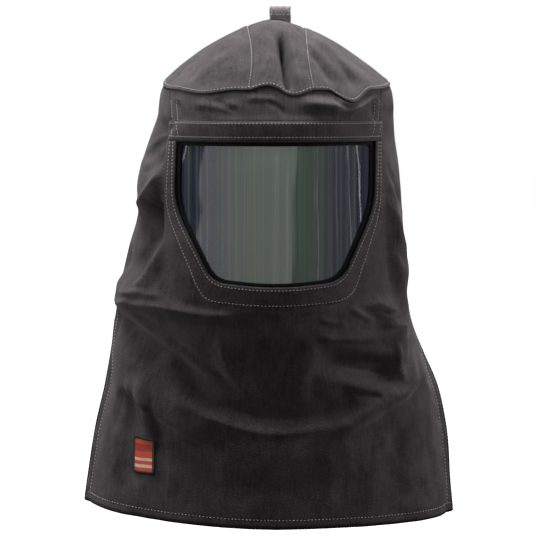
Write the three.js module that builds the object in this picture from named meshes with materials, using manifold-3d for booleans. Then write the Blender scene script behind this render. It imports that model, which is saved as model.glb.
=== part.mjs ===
// Arc flash hood: a sewn cloth hood with a three-panel crown, a face shield behind a banded
// window, and a bib that hangs over the chest and the back, open along both sides.
// Millimetres, +Z up, the wearer faces -Y and +X is on the right as seen from the front.
// The origin is where the top of the head bears, on the inner face of the crown.

import * as THREE from 'three';
import { mergeVertices } from 'three/addons/utils/BufferGeometryUtils.js';
import Module from 'manifold-3d';

const wasm = await Module();
wasm.setup();

// Heights, from the top of the crown down the middle of the front
const crownDrop = 86;
const browHeight = 36;
const topBandHeight = 24;
const windowHeight = 171;
const lowerBandHeight = 24;
const collarHeight = 31;
const bibLength = 229;

// Widths and depths
const windowWidth = 239;
const windowShift = 3.5;
const cheekWidth = 104;
const browFlare = 15;
const hoodDepth = 300;
const seamBehind = 6;
const bibForward = 78;
const bibBehind = 55;

// Cloth, seams and folds
const wall = 2;
const seamGap = 0.3;
const crownLap = 5;
const cornerRise = 12;
const seamWave = 12;
const foldDepth = 14;
const hemRiseLeft = 16;
const hemRiseRight = 3;

// Crown
const stripLeft = 28;
const stripRight = 43;
const stripSlant = 4;
const crownRound = 1.6;

// Window and shield
const bandThickness = 1.5;
const bandTuck = 6;
const facingThickness = 1.2;
const facingShow = 4;
const facingHold = 9;
const shieldThickness = 2;
const shieldHold = 6;

// Edge binding
const bindingWidth = 3.2;
const bindingProud = 0.4;

// Hanger loop
const loopWidth = 26;
const loopHeight = 16;
const loopDepth = 15;
const loopShift = 10;
const strapThickness = 2.4;

// Patch
const patchWidth = 27;
const patchHeight = 42;
const patchRound = 5;
const patchInset = 64;
const patchAboveHem = 57;
const patchBorder = 3;
const patchThickness = 1.2;

// Fineness of the sheets
const frontColumns = 28;
const frontRows = 30;
const backColumns = 16;
const backRows = 18;
const crownRings = [0, 0.2, 0.4, 0.6, 0.8, 1];

// Sizes that follow from those above
const hoodWidth = windowWidth + 2 * cheekWidth;
const windowDrop = crownDrop + browHeight + topBandHeight;
const slitDrop = windowDrop + windowHeight + lowerBandHeight + collarHeight;
const hoodHeight = slitDrop + bibLength;
const facingFront = -wall - seamGap;
const shieldFront = facingFront - facingThickness - seamGap;
const far = 2 * hoodWidth;

// Horizontal sections. level is a share of hoodHeight, left and right are shares of hoodWidth,
// front and back are shares of hoodDepth, and square is the exponent of the rounded outline.
const sections = [
  { level: 0.08, left: 0.262, right: 0.284, front: 0.405, back: 0.415, square: 2.4 },
  { level: 0.14, left: 0.306, right: 0.327, front: 0.437, back: 0.427, square: 2.35 },
  { level: 0.17, left: 0.314, right: 0.337, front: 0.487, back: 0.430, square: 2.3 },
  { level: 0.195, left: 0.318, right: 0.338, front: 0.500, back: 0.433, square: 2.2 },
  { level: 0.24, left: 0.340, right: 0.342, front: 0.523, back: 0.437, square: 2.1 },
  { level: 0.29, left: 0.362, right: 0.352, front: 0.537, back: 0.447, square: 2.05 },
  { level: 0.34, left: 0.376, right: 0.358, front: 0.547, back: 0.457, square: 2 },
  { level: 0.39, left: 0.372, right: 0.363, front: 0.553, back: 0.467, square: 2 },
  { level: 0.465, left: 0.400, right: 0.369, front: 0.560, back: 0.487, square: 2 },
  { level: 0.54, left: 0.423, right: 0.376, front: 0.560, back: 0.500, square: 1.95 },
  { level: 0.615, left: 0.441, right: 0.389, front: 0.547, back: 0.507, square: 1.9 },
  { level: 0.68, left: 0.449, right: 0.420, front: 0.510, back: 0.503, square: 1.9 },
  { level: 0.75, left: 0.463, right: 0.458, front: 0.477, back: 0.500, square: 1.9 },
  { level: 0.82, left: 0.484, right: 0.478, front: 0.462, back: 0.500, square: 1.9 },
  { level: 0.87, left: 0.495, right: 0.485, front: 0.515, back: 0.503, square: 1.9 },
  { level: 0.93, left: 0.506, right: 0.488, front: 0.537, back: 0.507, square: 1.9 },
  { level: 1, left: 0.518, right: 0.495, front: 0.553, back: 0.513, square: 1.9 },
];

// Waves of the cap seam: at and wide are shares of hoodWidth, dip is a share of seamWave.
const seamWaves = [
  { at: -0.18, wide: 0.08, dip: 0.35 },
  { at: -0.015, wide: 0.05, dip: -0.45 },
  { at: 0.06, wide: 0.05, dip: 0.55 },
  { at: 0.205, wide: 0.06, dip: 1.2 },
];

// Folds. Each runs along a bend from, via, to, given as shares of hoodWidth across and of
// hoodHeight down. over and under are its widths on its two sides, as shares of hoodWidth:
// above and below a fold that runs right, or right and left of one that runs down.
// rise is a share of foldDepth, and is negative for a hollow.
const frontFolds = [
  // Swag across the chest
  { from: [-0.32, 0.7], via: [-0.01, 0.93], to: [0.35, 0.74], over: 0.05, under: 0.16, rise: 1.1 },
  // Cloth that breaks over the left shoulder, and the hollow below it
  { from: [-0.48, 0.578], via: [-0.25, 0.565], to: [-0.06, 0.59], over: 0.1, under: 0.035, rise: 0.6 },
  { from: [-0.48, 0.592], via: [-0.33, 0.62], to: [-0.12, 0.76], over: 0.05, under: 0.11, rise: -0.9 },
  // Pocket at the right of the chest, with the ridges beside it and under it
  { from: [0.35, 0.72], via: [0.26, 0.69], to: [0.1, 0.675], over: 0.05, under: 0.06, rise: -0.9 },
  { from: [0.29, 0.57], via: [0.365, 0.63], to: [0.36, 0.757], over: 0.04, under: 0.05, rise: 0.6 },
  { from: [0.19, 0.74], via: [0.29, 0.735], to: [0.39, 0.765], over: 0.035, under: 0.09, rise: 0.5 },
  // Cloth gathered at the left of the window
  { from: [-0.26, 0.2], via: [-0.31, 0.25], to: [-0.34, 0.3], over: 0.05, under: 0.05, rise: -0.6 },
  { from: [-0.26, 0.31], via: [-0.31, 0.345], to: [-0.36, 0.4], over: 0.035, under: 0.045, rise: 0.55 },
  { from: [-0.28, 0.36], via: [-0.33, 0.43], to: [-0.41, 0.55], over: 0.04, under: 0.06, rise: -0.9 },
  { from: [-0.28, 0.43], via: [-0.33, 0.51], to: [-0.42, 0.565], over: 0.05, under: 0.07, rise: 0.45 },
  // Long fold down the right side
  { from: [0.285, 0.26], via: [0.31, 0.43], to: [0.37, 0.57], over: 0.035, under: 0.03, rise: 0.5 },
  { from: [0.27, 0.35], via: [0.285, 0.45], to: [0.33, 0.57], over: 0.025, under: 0.03, rise: -0.6 },
  // Faint hanging folds below the window
  { from: [-0.14, 0.62], via: [-0.12, 0.71], to: [-0.02, 0.78], over: 0.04, under: 0.04, rise: 0.25 },
  { from: [0.12, 0.62], via: [0.07, 0.69], to: [0.07, 0.77], over: 0.04, under: 0.04, rise: 0.25 },
  // Folds down the bib
  { from: [-0.35, 0.7], via: [-0.34, 0.78], to: [-0.32, 0.86], over: 0.03, under: 0.03, rise: 0.4 },
  { from: [-0.38, 0.73], via: [-0.39, 0.82], to: [-0.4, 0.96], over: 0.045, under: 0.04, rise: -0.45 },
  { from: [0.32, 0.8], via: [0.335, 0.88], to: [0.32, 0.97], over: 0.05, under: 0.06, rise: -0.35 },
  // Crease above the top band, and the brow bulging over it
  { from: [-0.2, 0.192], via: [0.02, 0.198], to: [0.25, 0.194], over: 0.035, under: 0.02, rise: -0.4 },
  { from: [0.07, 0.165], via: [0.15, 0.178], to: [0.25, 0.168], over: 0.03, under: 0.03, rise: 0.35 },
];

const backFolds = [
  { from: [-0.26, 0.33], via: [0, 0.38], to: [0.26, 0.33], over: 0.06, under: 0.09, rise: -0.5 },
  { from: [-0.2, 0.36], via: [-0.17, 0.6], to: [-0.22, 1.05], over: 0.09, under: 0.09, rise: 0.6 },
  { from: [0.02, 0.42], via: [-0.02, 0.7], to: [0.03, 1.05], over: 0.08, under: 0.08, rise: -0.5 },
  { from: [0.2, 0.36], via: [0.23, 0.6], to: [0.2, 1.05], over: 0.09, under: 0.09, rise: 0.6 },
];

const crownFolds = [
  { from: [0.015, 0.02], via: [0.035, 0.086], to: [0.045, 0.16], over: 0.03, under: 0.03, rise: -0.5 },
  { from: [0.1, 0.03], via: [0.16, 0.08], to: [0.2, 0.13], over: 0.05, under: 0.035, rise: 0.35 },
  { from: [-0.08, 0.03], via: [-0.13, 0.08], to: [-0.2, 0.125], over: 0.05, under: 0.06, rise: 0.3 },
];

// Corners of the window, going round from the upper left. across is a share of half of
// windowWidth, down and round are shares of windowHeight. sideways and below say how far the
// lower band reaches past each corner, as shares of lowerBandHeight.
const windowCorners = [
  { across: -0.98, down: 0, round: 0.03, sideways: -0.42, below: 0 },
  { across: -1, down: 0.44, round: 0.14, sideways: -0.52, below: 0.3 },
  { across: -0.62, down: 0.96, round: 0.1, sideways: -0.45, below: 1 },
  { across: 0, down: 1, round: 0.3, sideways: 0, below: 1 },
  { across: 0.66, down: 0.96, round: 0.12, sideways: 0.5, below: 1 },
  { across: 0.99, down: 0.45, round: 0.14, sideways: 0.36, below: 0.3 },
  { across: 1, down: 0, round: 0.03, sideways: 0.36, below: 0 },
];

const clamp01 = (value) => Math.min(1, Math.max(0, value));
const ease = (share) => clamp01(share) ** 2 * (3 - 2 * clamp01(share));

// A column of the section table at one level, on a smooth curve through its rows
function sectionValue(column, level) {
  const last = sections.length - 1;
  const found = sections.findIndex((row) => row.level > level);
  const index = Math.min(Math.max(found < 0 ? last : found, 1), last) - 1;
  const slope = (i) => {
    const above = sections[Math.max(i - 1, 0)];
    const below = sections[Math.min(i + 1, last)];
    return (below[column] - above[column]) / (below.level - above.level);
  };
  const [a, b] = [sections[index], sections[index + 1]];
  const span = b.level - a.level;
  const t = clamp01((level - a.level) / span);
  const [t2, t3] = [t ** 2, t ** 3];
  return a[column] * (2 * t3 - 3 * t2 + 1) + b[column] * (3 * t2 - 2 * t3)
    + span * (slope(index) * (t3 - 2 * t2 + t) + slope(index + 1) * (t3 - t2));
}

// Height of one fold at a place seen from the front, as a share of foldDepth
function foldHeight(fold, across, down) {
  const steps = 12;
  const fadeShare = 0.25;
  const bend = (t, axis) => (1 - t) ** 2 * fold.from[axis] + 2 * t * (1 - t) * fold.via[axis]
    + t ** 2 * fold.to[axis];
  const at = (t) => [bend(t, 0) * hoodWidth, bend(t, 1) * hoodHeight];
  let nearest = { gap: Infinity };
  for (let i = 0; i < steps; i += 1) {
    const [ax, ad] = at(i / steps);
    const [bx, bd] = at((i + 1) / steps);
    const length2 = (bx - ax) ** 2 + (bd - ad) ** 2;
    const t = clamp01(((across - ax) * (bx - ax) + (down - ad) * (bd - ad)) / length2);
    const [ox, od] = [across - ax - t * (bx - ax), down - ad - t * (bd - ad)];
    const gap = Math.hypot(ox, od);
    if (gap < nearest.gap) {
      nearest = { gap, under: (bx - ax) * od - (bd - ad) * ox > 0, along: (i + t) / steps };
    }
  }
  const wide = (nearest.under ? fold.under : fold.over) * hoodWidth;
  const offset = clamp01(nearest.gap / wide);
  const ends = ease(nearest.along / fadeShare) * ease((1 - nearest.along) / fadeShare);
  return fold.rise * ends * (1 - offset ** 2) ** 2;
}

// Nothing is folded where the window and its bands are, and it fades in around them
function freeToFold(across, down) {
  const corner = 6;
  const fade = 0.08;
  const reachAcross = windowWidth / 2 + lowerBandHeight / 2;
  const top = windowDrop - topBandHeight;
  const reachDown = (windowDrop + windowHeight + lowerBandHeight - top) / 2;
  const x = Math.abs(across - windowShift) / reachAcross;
  const z = Math.abs(down - top - reachDown) / reachDown;
  return ease(((x ** corner + z ** corner) ** (1 / corner) - 1) / fade);
}

// How far the side slit has opened at a level, from 0 at its top to 1 at the hem
const slitOpening = (down) => clamp01((down - slitDrop) / bibLength) ** 0.8;

// Outer face of the cloth. side is front or back, around runs from -1 at the left seam to 1
// at the right one, and down is the distance below the origin.
function clothPoint(side, around, down) {
  const seamFade = 0.07;
  const level = down / hoodHeight;
  const front = side === 'front';
  const half = sectionValue(around < 0 ? 'left' : 'right', level) * hoodWidth;
  const edge = seamBehind + slitOpening(down) * (front ? -bibForward : bibBehind);
  const reach = sectionValue(side, level) * hoodDepth + (front ? edge : -edge);
  const square = sectionValue('square', level);
  const angle = around * Math.PI / 2;
  const sideways = Math.abs(Math.sin(angle)) ** (2 / square);
  const forward = Math.max(Math.abs(Math.cos(angle)) ** (2 / square), seamGap / 2 / reach);
  const across = Math.sign(around) * half * sideways;
  const away = (front ? -1 : 1) * reach * forward;
  const outward = new THREE.Vector2(
    Math.sign(across) * sideways ** (square - 1) / half,
    Math.sign(away) * forward ** (square - 1) / reach,
  ).normalize();
  const folds = front ? frontFolds : backFolds;
  const free = ease((1 - Math.abs(around)) / seamFade) * (front ? freeToFold(across, down) : 1);
  const height = folds.reduce((sum, fold) => sum + foldHeight(fold, across, down), 0);
  const lift = outward.multiplyScalar(height * foldDepth * free);
  return new THREE.Vector3(across + lift.x, edge + away + lift.y, -down);
}

// The same point moved out of the cloth by some distance, or into it when that is negative
function clothOffset(side, around, down, distance) {
  const small = { around: 0.004, down: 1 };
  const left = clothPoint(side, Math.max(around - small.around, -1), down);
  const right = clothPoint(side, Math.min(around + small.around, 1), down);
  const above = clothPoint(side, around, down - small.down);
  const below = clothPoint(side, around, down + small.down);
  const outward = right.sub(left).cross(above.sub(below)).normalize();
  const point = clothPoint(side, around, down);
  return point.addScaledVector(outward, side === 'front' ? distance : -distance);
}

// Lower edge of the crown, seen as the cap seam
function seamDrop(side, around) {
  const across = clothPoint(side, around, crownDrop).x;
  const cornerSharpness = 5;
  const even = crownDrop - cornerRise * Math.abs(around) ** cornerSharpness;
  if (side === 'back') {
    return even;
  }
  const waves = seamWaves.map((wave) => {
    const away = clamp01(Math.abs(across / hoodWidth - wave.at) / wave.wide);
    return wave.dip * (1 - away ** 2) ** 2;
  });
  return even + seamWave * waves.reduce((sum, dip) => sum + dip, 0);
}

// Lower edge of the front and back, higher at the corners
function hemDrop(around) {
  const roundness = 1.6;
  const rise = around < 0 ? hemRiseLeft : hemRiseRight;
  return hoodHeight - rise * Math.abs(Math.sin(around * Math.PI / 2)) ** roundness;
}

// Level of one row of a sheet: its top edge is tucked under the crown, the next row lies on
// the cap seam, and the rest are spaced evenly down to the hem
function rowDrop(side, around, row, rows) {
  const seam = seamDrop(side, around);
  if (row === 0) {
    return seam - crownLap + wall + 4 * seamGap;
  }
  return seam + (row - 1) / (rows - 1) * (hemDrop(around) - seam);
}

// A closed solid from rows of [outer, inner] points. A ring joins its last column to its
// first, and a pole is a first row drawn together to one point.
function sheetSolid(rows, { ring = false, pole = false } = {}) {
  const points = [];
  const quad = (a, b, c, d) => points.push(a, b, c, a, c, d);
  const columns = rows[0].length;
  const last = rows.length - 1;
  for (let i = 0; i < last; i += 1) {
    for (let j = 0; j < (ring ? columns : columns - 1); j += 1) {
      const [a, b] = [rows[i][j], rows[i][(j + 1) % columns]];
      const [c, d] = [rows[i + 1][(j + 1) % columns], rows[i + 1][j]];
      quad(a[0], d[0], c[0], b[0]);
      quad(a[1], b[1], c[1], d[1]);
    }
    if (!ring) {
      quad(rows[i][0][0], rows[i][0][1], rows[i + 1][0][1], rows[i + 1][0][0]);
      const [a, d] = [rows[i][columns - 1], rows[i + 1][columns - 1]];
      quad(a[1], a[0], d[0], d[1]);
    }
  }
  for (let j = 0; j < (ring ? columns : columns - 1); j += 1) {
    const next = (j + 1) % columns;
    if (!pole) {
      quad(rows[0][j][1], rows[0][j][0], rows[0][next][0], rows[0][next][1]);
    }
    quad(rows[last][j][0], rows[last][j][1], rows[last][next][1], rows[last][next][0]);
  }
  const geometry = new THREE.BufferGeometry().setFromPoints(points);
  return solid(geometry);
}

// A boolean solid from a closed geometry, with its faces turned outward
function solid(geometry) {
  const plain = geometry.index ? geometry.toNonIndexed() : geometry;
  plain.deleteAttribute('normal');
  plain.deleteAttribute('uv');
  const merged = mergeVertices(plain, 1e-5);
  const place = merged.attributes.position.array;
  const corner = (index) => new THREE.Vector3().fromArray(place, 3 * index);
  const triangles = [];
  let volume = 0;
  for (let i = 0; i < merged.index.count; i += 3) {
    const [a, b, c] = merged.index.array.slice(i, i + 3);
    if (a !== b && b !== c && c !== a) {
      triangles.push(a, b, c);
      volume += corner(a).dot(corner(b).cross(corner(c)));
    }
  }
  const turned = volume < 0 ? triangles.reverse() : triangles;
  return new wasm.Manifold(new wasm.Mesh({
    numProp: 3,
    vertProperties: new Float32Array(place),
    triVerts: new Uint32Array(turned),
  }));
}

// A sheet of the hood between two distances from the cloth's outer face
function layer(side, inner, outer, columns, rows) {
  const count = (last) => Array.from({ length: last + 1 }, (_, i) => i);
  return sheetSolid(count(rows).map((row) => count(columns).map((column) => {
    const around = 2 * column / columns - 1;
    const down = rowDrop(side, around, row, rows);
    return [clothOffset(side, around, down, outer), clothOffset(side, around, down, inner)];
  })));
}

const frontLayer = (inner, outer) => layer('front', inner, outer, frontColumns, frontRows);

// A closed outline through corners {x, z, round}, each rounded over its own length
function outline(corners) {
  const shape = new THREE.Shape();
  const towards = (corner, other) => {
    const point = new THREE.Vector2(corner.x, corner.z);
    const target = new THREE.Vector2(other.x, other.z);
    return point.lerp(target, Math.min(0.5, (corner.round ?? 0) / point.distanceTo(target)));
  };
  corners.forEach((corner, i) => {
    const start = towards(corner, corners.at(i - 1));
    const end = towards(corner, corners[(i + 1) % corners.length]);
    if (i === 0) {
      shape.moveTo(start.x, start.y);
    } else {
      shape.lineTo(start.x, start.y);
    }
    if (corner.round) {
      shape.quadraticCurveTo(corner.x, corner.z, end.x, end.y);
    }
  });
  shape.closePath();
  return shape;
}

// The corners moved outward by an even margin, or inward by a negative one
function grow(corners, margin) {
  const turning = THREE.ShapeUtils.area(corners.map(({ x, z }) => new THREE.Vector2(x, z)));
  const side = (a, b) => new THREE.Vector2(b.z - a.z, a.x - b.x).normalize()
    .multiplyScalar(Math.sign(turning));
  return corners.map((corner, i) => {
    const before = side(corners.at(i - 1), corner);
    const after = side(corner, corners[(i + 1) % corners.length]);
    const mitre = margin / (1 + before.dot(after));
    return { ...corner, x: corner.x + mitre * (before.x + after.x),
      z: corner.z + mitre * (before.y + after.y) };
  });
}

// A block with a given outline as seen from the front, from the middle of the hood forward,
// or through the whole hood
function block(corners, through = false) {
  const geometry = new THREE.ExtrudeGeometry(outline(corners), {
    depth: through ? 2 * far : far,
    bevelEnabled: false,
    curveSegments: 3,
  });
  geometry.rotateX(Math.PI / 2);
  geometry.translate(0, through ? far : 0, 0);
  return solid(geometry);
}

const windowOutline = windowCorners.map(({ across, down, round }) => ({
  x: windowShift + across * windowWidth / 2,
  z: -windowDrop - down * windowHeight,
  round: round * windowHeight,
}));

const lowerBandOutline = windowCorners.map(({ sideways, below, round }, i) => ({
  x: windowOutline[i].x + sideways * lowerBandHeight,
  z: windowOutline[i].z - below * lowerBandHeight - seamGap,
  round: round * windowHeight,
}));

// The brow's side seams start under the ends of the top band and lean out to the crown
const bandLeft = lowerBandOutline[0].x;
const bandRight = lowerBandOutline.at(-1).x;

const browOutline = [
  { x: bandLeft + bandTuck, z: -windowDrop },
  { x: bandRight - bandTuck, z: -windowDrop },
  { x: bandRight - bandTuck + browFlare, z: 0 },
  { x: bandLeft + bandTuck - browFlare, z: 0 },
];

function browPanel() {
  return frontLayer(-wall, 0).intersect(block(browOutline));
}

function frontPanel() {
  return frontLayer(-wall, 0)
    .subtract(block(grow(browOutline, seamGap)))
    .subtract(block(windowOutline));
}

function backPanel() {
  return layer('back', -wall, 0, backColumns, backRows);
}

function topBand() {
  const bandBottom = -windowDrop;
  const bandTop = bandBottom + topBandHeight;
  const corners = [
    { x: bandLeft, z: bandBottom },
    { x: bandRight, z: bandBottom },
    { x: bandRight, z: bandTop },
    { x: bandLeft, z: bandTop },
  ];
  return frontLayer(seamGap, seamGap + bandThickness).intersect(block(corners));
}

function lowerBand() {
  return frontLayer(seamGap, seamGap + bandThickness)
    .intersect(block(lowerBandOutline))
    .subtract(block(windowOutline));
}

function shieldFacing() {
  return frontLayer(facingFront - facingThickness, facingFront)
    .intersect(block(grow(windowOutline, facingHold)))
    .subtract(block(grow(windowOutline, -facingShow)));
}

function faceShield() {
  return frontLayer(shieldFront - shieldThickness, shieldFront)
    .intersect(block(grow(windowOutline, shieldHold)));
}

// Outer face of the crown. ring runs from 0 at the top to 1 at the rim.
function crownPoint(side, around, ring) {
  const foldLean = { y: -0.6, z: 0.8 };
  const fade = { seams: 0.3, top: 0.2, rim: 0.15 };
  const edge = seamDrop(side, around);
  const rimDrop = edge - crownLap;
  const rim = clothOffset(side, around, edge, seamGap + wall);
  const down = (rimDrop + wall) * ring ** crownRound - wall;
  const across = rim.x * ring;
  const height = crownFolds.reduce((sum, fold) => sum + foldHeight(fold, across, down), 0);
  const free = side === 'front' ? ease((1 - Math.abs(around)) / fade.seams) : 0;
  const lift = height * foldDepth * free * ease((1 - ring) / fade.rim) * ease(ring / fade.top);
  return new THREE.Vector3(across, rim.y * ring + foldLean.y * lift, -down + foldLean.z * lift);
}

function crownOffset(side, around, ring, distance) {
  if (ring === 0) {
    return new THREE.Vector3(0, 0, wall + distance);
  }
  const small = { around: 0.004, ring: 0.01 };
  const left = crownPoint(side, Math.max(around - small.around, -1), ring);
  const right = crownPoint(side, Math.min(around + small.around, 1), ring);
  const upper = crownPoint(side, around, ring - small.ring);
  const lower = crownPoint(side, around, Math.min(ring + small.ring, 1));
  const outward = right.sub(left).cross(upper.sub(lower)).normalize();
  const point = crownPoint(side, around, ring);
  return point.addScaledVector(outward, side === 'front' ? distance : -distance);
}

// Every column of the crown stands over a column of the cloth below it
function crownColumns() {
  const steps = (count) => Array.from({ length: count }, (_, i) => 2 * i / count - 1);
  return [
    ...steps(frontColumns).map((around) => ['front', around]),
    ...steps(backColumns).map((around) => ['back', -around]),
  ];
}

// The crown laps over the cloth below its rim, down to the cap seam
function crownShell() {
  const dome = crownRings.map((ring) => crownColumns().map(([side, around]) => [
    crownOffset(side, around, ring, 0),
    crownOffset(side, around, ring, -wall),
  ]));
  const lap = crownColumns().map(([side, around]) => [
    clothOffset(side, around, seamDrop(side, around), seamGap + wall),
    clothOffset(side, around, seamDrop(side, around), seamGap),
  ]);
  return sheetSolid([...dome, lap], { ring: true, pole: true });
}

// Outlines of the crown panels: a strip over the middle, and one panel on each side. The two
// seams slant a little, so each is placed by its height.
const leftSeam = (z) => -stripLeft - stripSlant * (0.5 + z / crownDrop);
const rightSeam = (z) => stripRight - 2 * stripSlant * (0.5 + z / crownDrop);

function crownPanel(left, right) {
  const [top, bottom] = [crownDrop, -2 * crownDrop];
  return crownShell().intersect(block([
    { x: left(bottom), z: bottom },
    { x: right(bottom), z: bottom },
    { x: right(top), z: top },
    { x: left(top), z: top },
  ], true));
}

const crownCenter = () => crownPanel(leftSeam, rightSeam);
const crownLeft = () => crownPanel(() => -far, (z) => leftSeam(z) - seamGap);
const crownRight = () => crownPanel((z) => rightSeam(z) + seamGap, () => far);

// The crown as a full block, to fit what is sewn on its outer face
function crownBlock(distance) {
  const rows = crownRings.map((ring) => crownColumns().map(([side, around]) => {
    const outer = crownOffset(side, around, ring, distance);
    return [outer, new THREE.Vector3(outer.x, outer.y, -far)];
  }));
  return sheetSolid(rows, { ring: true, pole: true });
}

// A strap loop that stands on the crown, with its eye open from side to side
function hangerLoop() {
  const halfDepth = loopDepth / 2;
  const ringOutline = new THREE.Shape();
  ringOutline.moveTo(-halfDepth, -crownDrop);
  ringOutline.lineTo(halfDepth, -crownDrop);
  ringOutline.lineTo(halfDepth, loopHeight - halfDepth);
  ringOutline.absarc(0, loopHeight - halfDepth, halfDepth, 0, Math.PI);
  ringOutline.closePath();
  const eye = new THREE.Path();
  const halfEye = halfDepth - strapThickness;
  eye.moveTo(-halfEye, strapThickness);
  eye.lineTo(halfEye, strapThickness);
  eye.lineTo(halfEye, loopHeight - halfDepth);
  eye.absarc(0, loopHeight - halfDepth, halfEye, 0, Math.PI);
  eye.closePath();
  ringOutline.holes.push(eye);
  const geometry = new THREE.ExtrudeGeometry(ringOutline, {
    depth: loopWidth,
    bevelEnabled: false,
    curveSegments: 8,
  });
  geometry.rotateX(Math.PI / 2);
  geometry.rotateZ(Math.PI / 2);
  geometry.translate(loopShift - loopWidth / 2, 0, wall);
  return solid(geometry).subtract(crownBlock(seamGap));
}

// A narrow binding along the two side edges and the hem of one panel, from where the slit is
// wide enough for it
function edgeBinding(side, columns, rows) {
  const open = [];
  for (let row = 1; row <= rows; row += 1) {
    const down = Math.min(rowDrop(side, -1, row, rows), rowDrop(side, 1, row, rows));
    if (slitOpening(down) * Math.min(bibForward, bibBehind) > bindingWidth + 2 * seamGap) {
      open.push(row);
    }
  }
  const hem = Array.from({ length: columns - 1 }, (_, i) => 2 * (i + 1) / columns - 1);
  const edge = [
    ...open.map((row) => [-1, row]),
    ...hem.map((around) => [around, rows]),
    ...open.reverse().map((row) => [1, row]),
  ];
  return sheetSolid(edge.map(([around, row]) => {
    const down = rowDrop(side, around, row, rows);
    const point = clothPoint(side, around, down);
    const outward = clothOffset(side, around, down, 1).sub(point);
    const ways = [];
    if (Math.abs(around) === 1) {
      const inside = 0.98 * around;
      ways.push(clothPoint(side, inside, rowDrop(side, inside, row, rows)));
    }
    if (row === rows) {
      ways.push(clothPoint(side, around, down - bindingWidth));
    }
    const [first, second] = ways.map((inner) => point.clone().sub(inner).normalize());
    const away = second ? first.clone().add(second).divideScalar(1 + first.dot(second)) : first;
    return [seamGap, seamGap + bindingWidth].map((along) => {
      const middle = point.clone().addScaledVector(away, along);
      const faces = [bindingProud, -wall - bindingProud];
      return faces.map((out) => middle.clone().addScaledVector(outward, out));
    });
  }));
}

// Patch near the lower left corner of the bib
const patchCenter = {
  x: -sections.at(-1).left * hoodWidth + patchInset + patchWidth / 2,
  z: -hoodHeight + patchAboveHem + patchHeight / 2,
};

function patchOutline(inset) {
  const [halfWidth, halfHeight] = [patchWidth / 2 - inset, patchHeight / 2 - inset];
  const round = Math.max(patchRound - inset, 0);
  return [[-1, -1], [1, -1], [1, 1], [-1, 1]].map(([x, z]) => ({
    x: patchCenter.x + x * halfWidth,
    z: patchCenter.z + z * halfHeight,
    round,
  }));
}

function patchField() {
  return frontLayer(seamGap, seamGap + patchThickness)
    .intersect(block(patchOutline(patchBorder)));
}

function patchEdge() {
  return frontLayer(seamGap, seamGap + patchThickness)
    .intersect(block(patchOutline(0)))
    .subtract(block(patchOutline(patchBorder - seamGap)));
}

// Finishes
const clothGrey = { color: 0x4a4648, roughness: 0.92, metalness: 0 };
const bindingBlack = { color: 0x17171a, roughness: 0.85, metalness: 0 };
const shieldGreen = { color: 0x2f4a44, roughness: 0.08, metalness: 0 };
const patchOrange = { color: 0xd8452a, roughness: 0.7, metalness: 0 };

const hood = new THREE.Group();

function addPiece(name, body, finish) {
  const mesh = body.getMesh();
  const geometry = new THREE.BufferGeometry();
  geometry.setAttribute('position', new THREE.BufferAttribute(mesh.vertProperties, mesh.numProp));
  geometry.setIndex(new THREE.BufferAttribute(mesh.triVerts, 1));
  const piece = new THREE.Mesh(geometry, new THREE.MeshStandardMaterial(finish));
  piece.name = name;
  hood.add(piece);
}

addPiece('crown_center', crownCenter(), clothGrey);
addPiece('crown_left', crownLeft(), clothGrey);
addPiece('crown_right', crownRight(), clothGrey);
addPiece('hanger_loop', hangerLoop(), clothGrey);
addPiece('brow_panel', browPanel(), clothGrey);
addPiece('front_panel', frontPanel(), clothGrey);
addPiece('back_panel', backPanel(), clothGrey);
addPiece('window_band_top', topBand(), clothGrey);
addPiece('window_band_lower', lowerBand(), clothGrey);
addPiece('shield_facing', shieldFacing(), bindingBlack);
addPiece('face_shield', faceShield(), shieldGreen);
addPiece('front_binding', edgeBinding('front', frontColumns, frontRows), bindingBlack);
addPiece('back_binding', edgeBinding('back', backColumns, backRows), bindingBlack);
addPiece('patch_field', patchField(), patchOrange);
addPiece('patch_edge', patchEdge(), bindingBlack);

export default hood;
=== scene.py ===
# Arc flash hood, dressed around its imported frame. Metres, +Z up, the wearer faces -Y.
import math

import bmesh
import bpy
import numpy as np
from mathutils import Matrix, Vector
from mathutils.bvhtree import BVHTree


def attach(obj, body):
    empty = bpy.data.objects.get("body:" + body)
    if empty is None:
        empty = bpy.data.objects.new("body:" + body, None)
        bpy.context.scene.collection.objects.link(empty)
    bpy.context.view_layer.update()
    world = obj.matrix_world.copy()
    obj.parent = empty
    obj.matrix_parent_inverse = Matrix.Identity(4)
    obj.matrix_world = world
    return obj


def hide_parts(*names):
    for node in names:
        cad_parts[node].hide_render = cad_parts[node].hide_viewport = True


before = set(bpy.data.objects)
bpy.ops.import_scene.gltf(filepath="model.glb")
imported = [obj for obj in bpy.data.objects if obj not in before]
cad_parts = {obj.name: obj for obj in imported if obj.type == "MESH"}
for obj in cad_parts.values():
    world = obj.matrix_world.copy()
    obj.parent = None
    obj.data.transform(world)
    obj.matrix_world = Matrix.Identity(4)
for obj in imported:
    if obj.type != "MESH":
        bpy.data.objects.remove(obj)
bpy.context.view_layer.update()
scene = bpy.context.scene
scene.view_settings.view_transform = "Standard"
print("frame loaded, nodes:", len(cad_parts))


# Nodes and colours

def linear(hexColour):
    parts = [int(hexColour[i:i + 2], 16) / 255 for i in (1, 3, 5)]
    return [p / 12.92 if p < 0.04045 else ((p + 0.055) / 1.055) ** 2.4 for p in parts] + [1.0]


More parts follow.
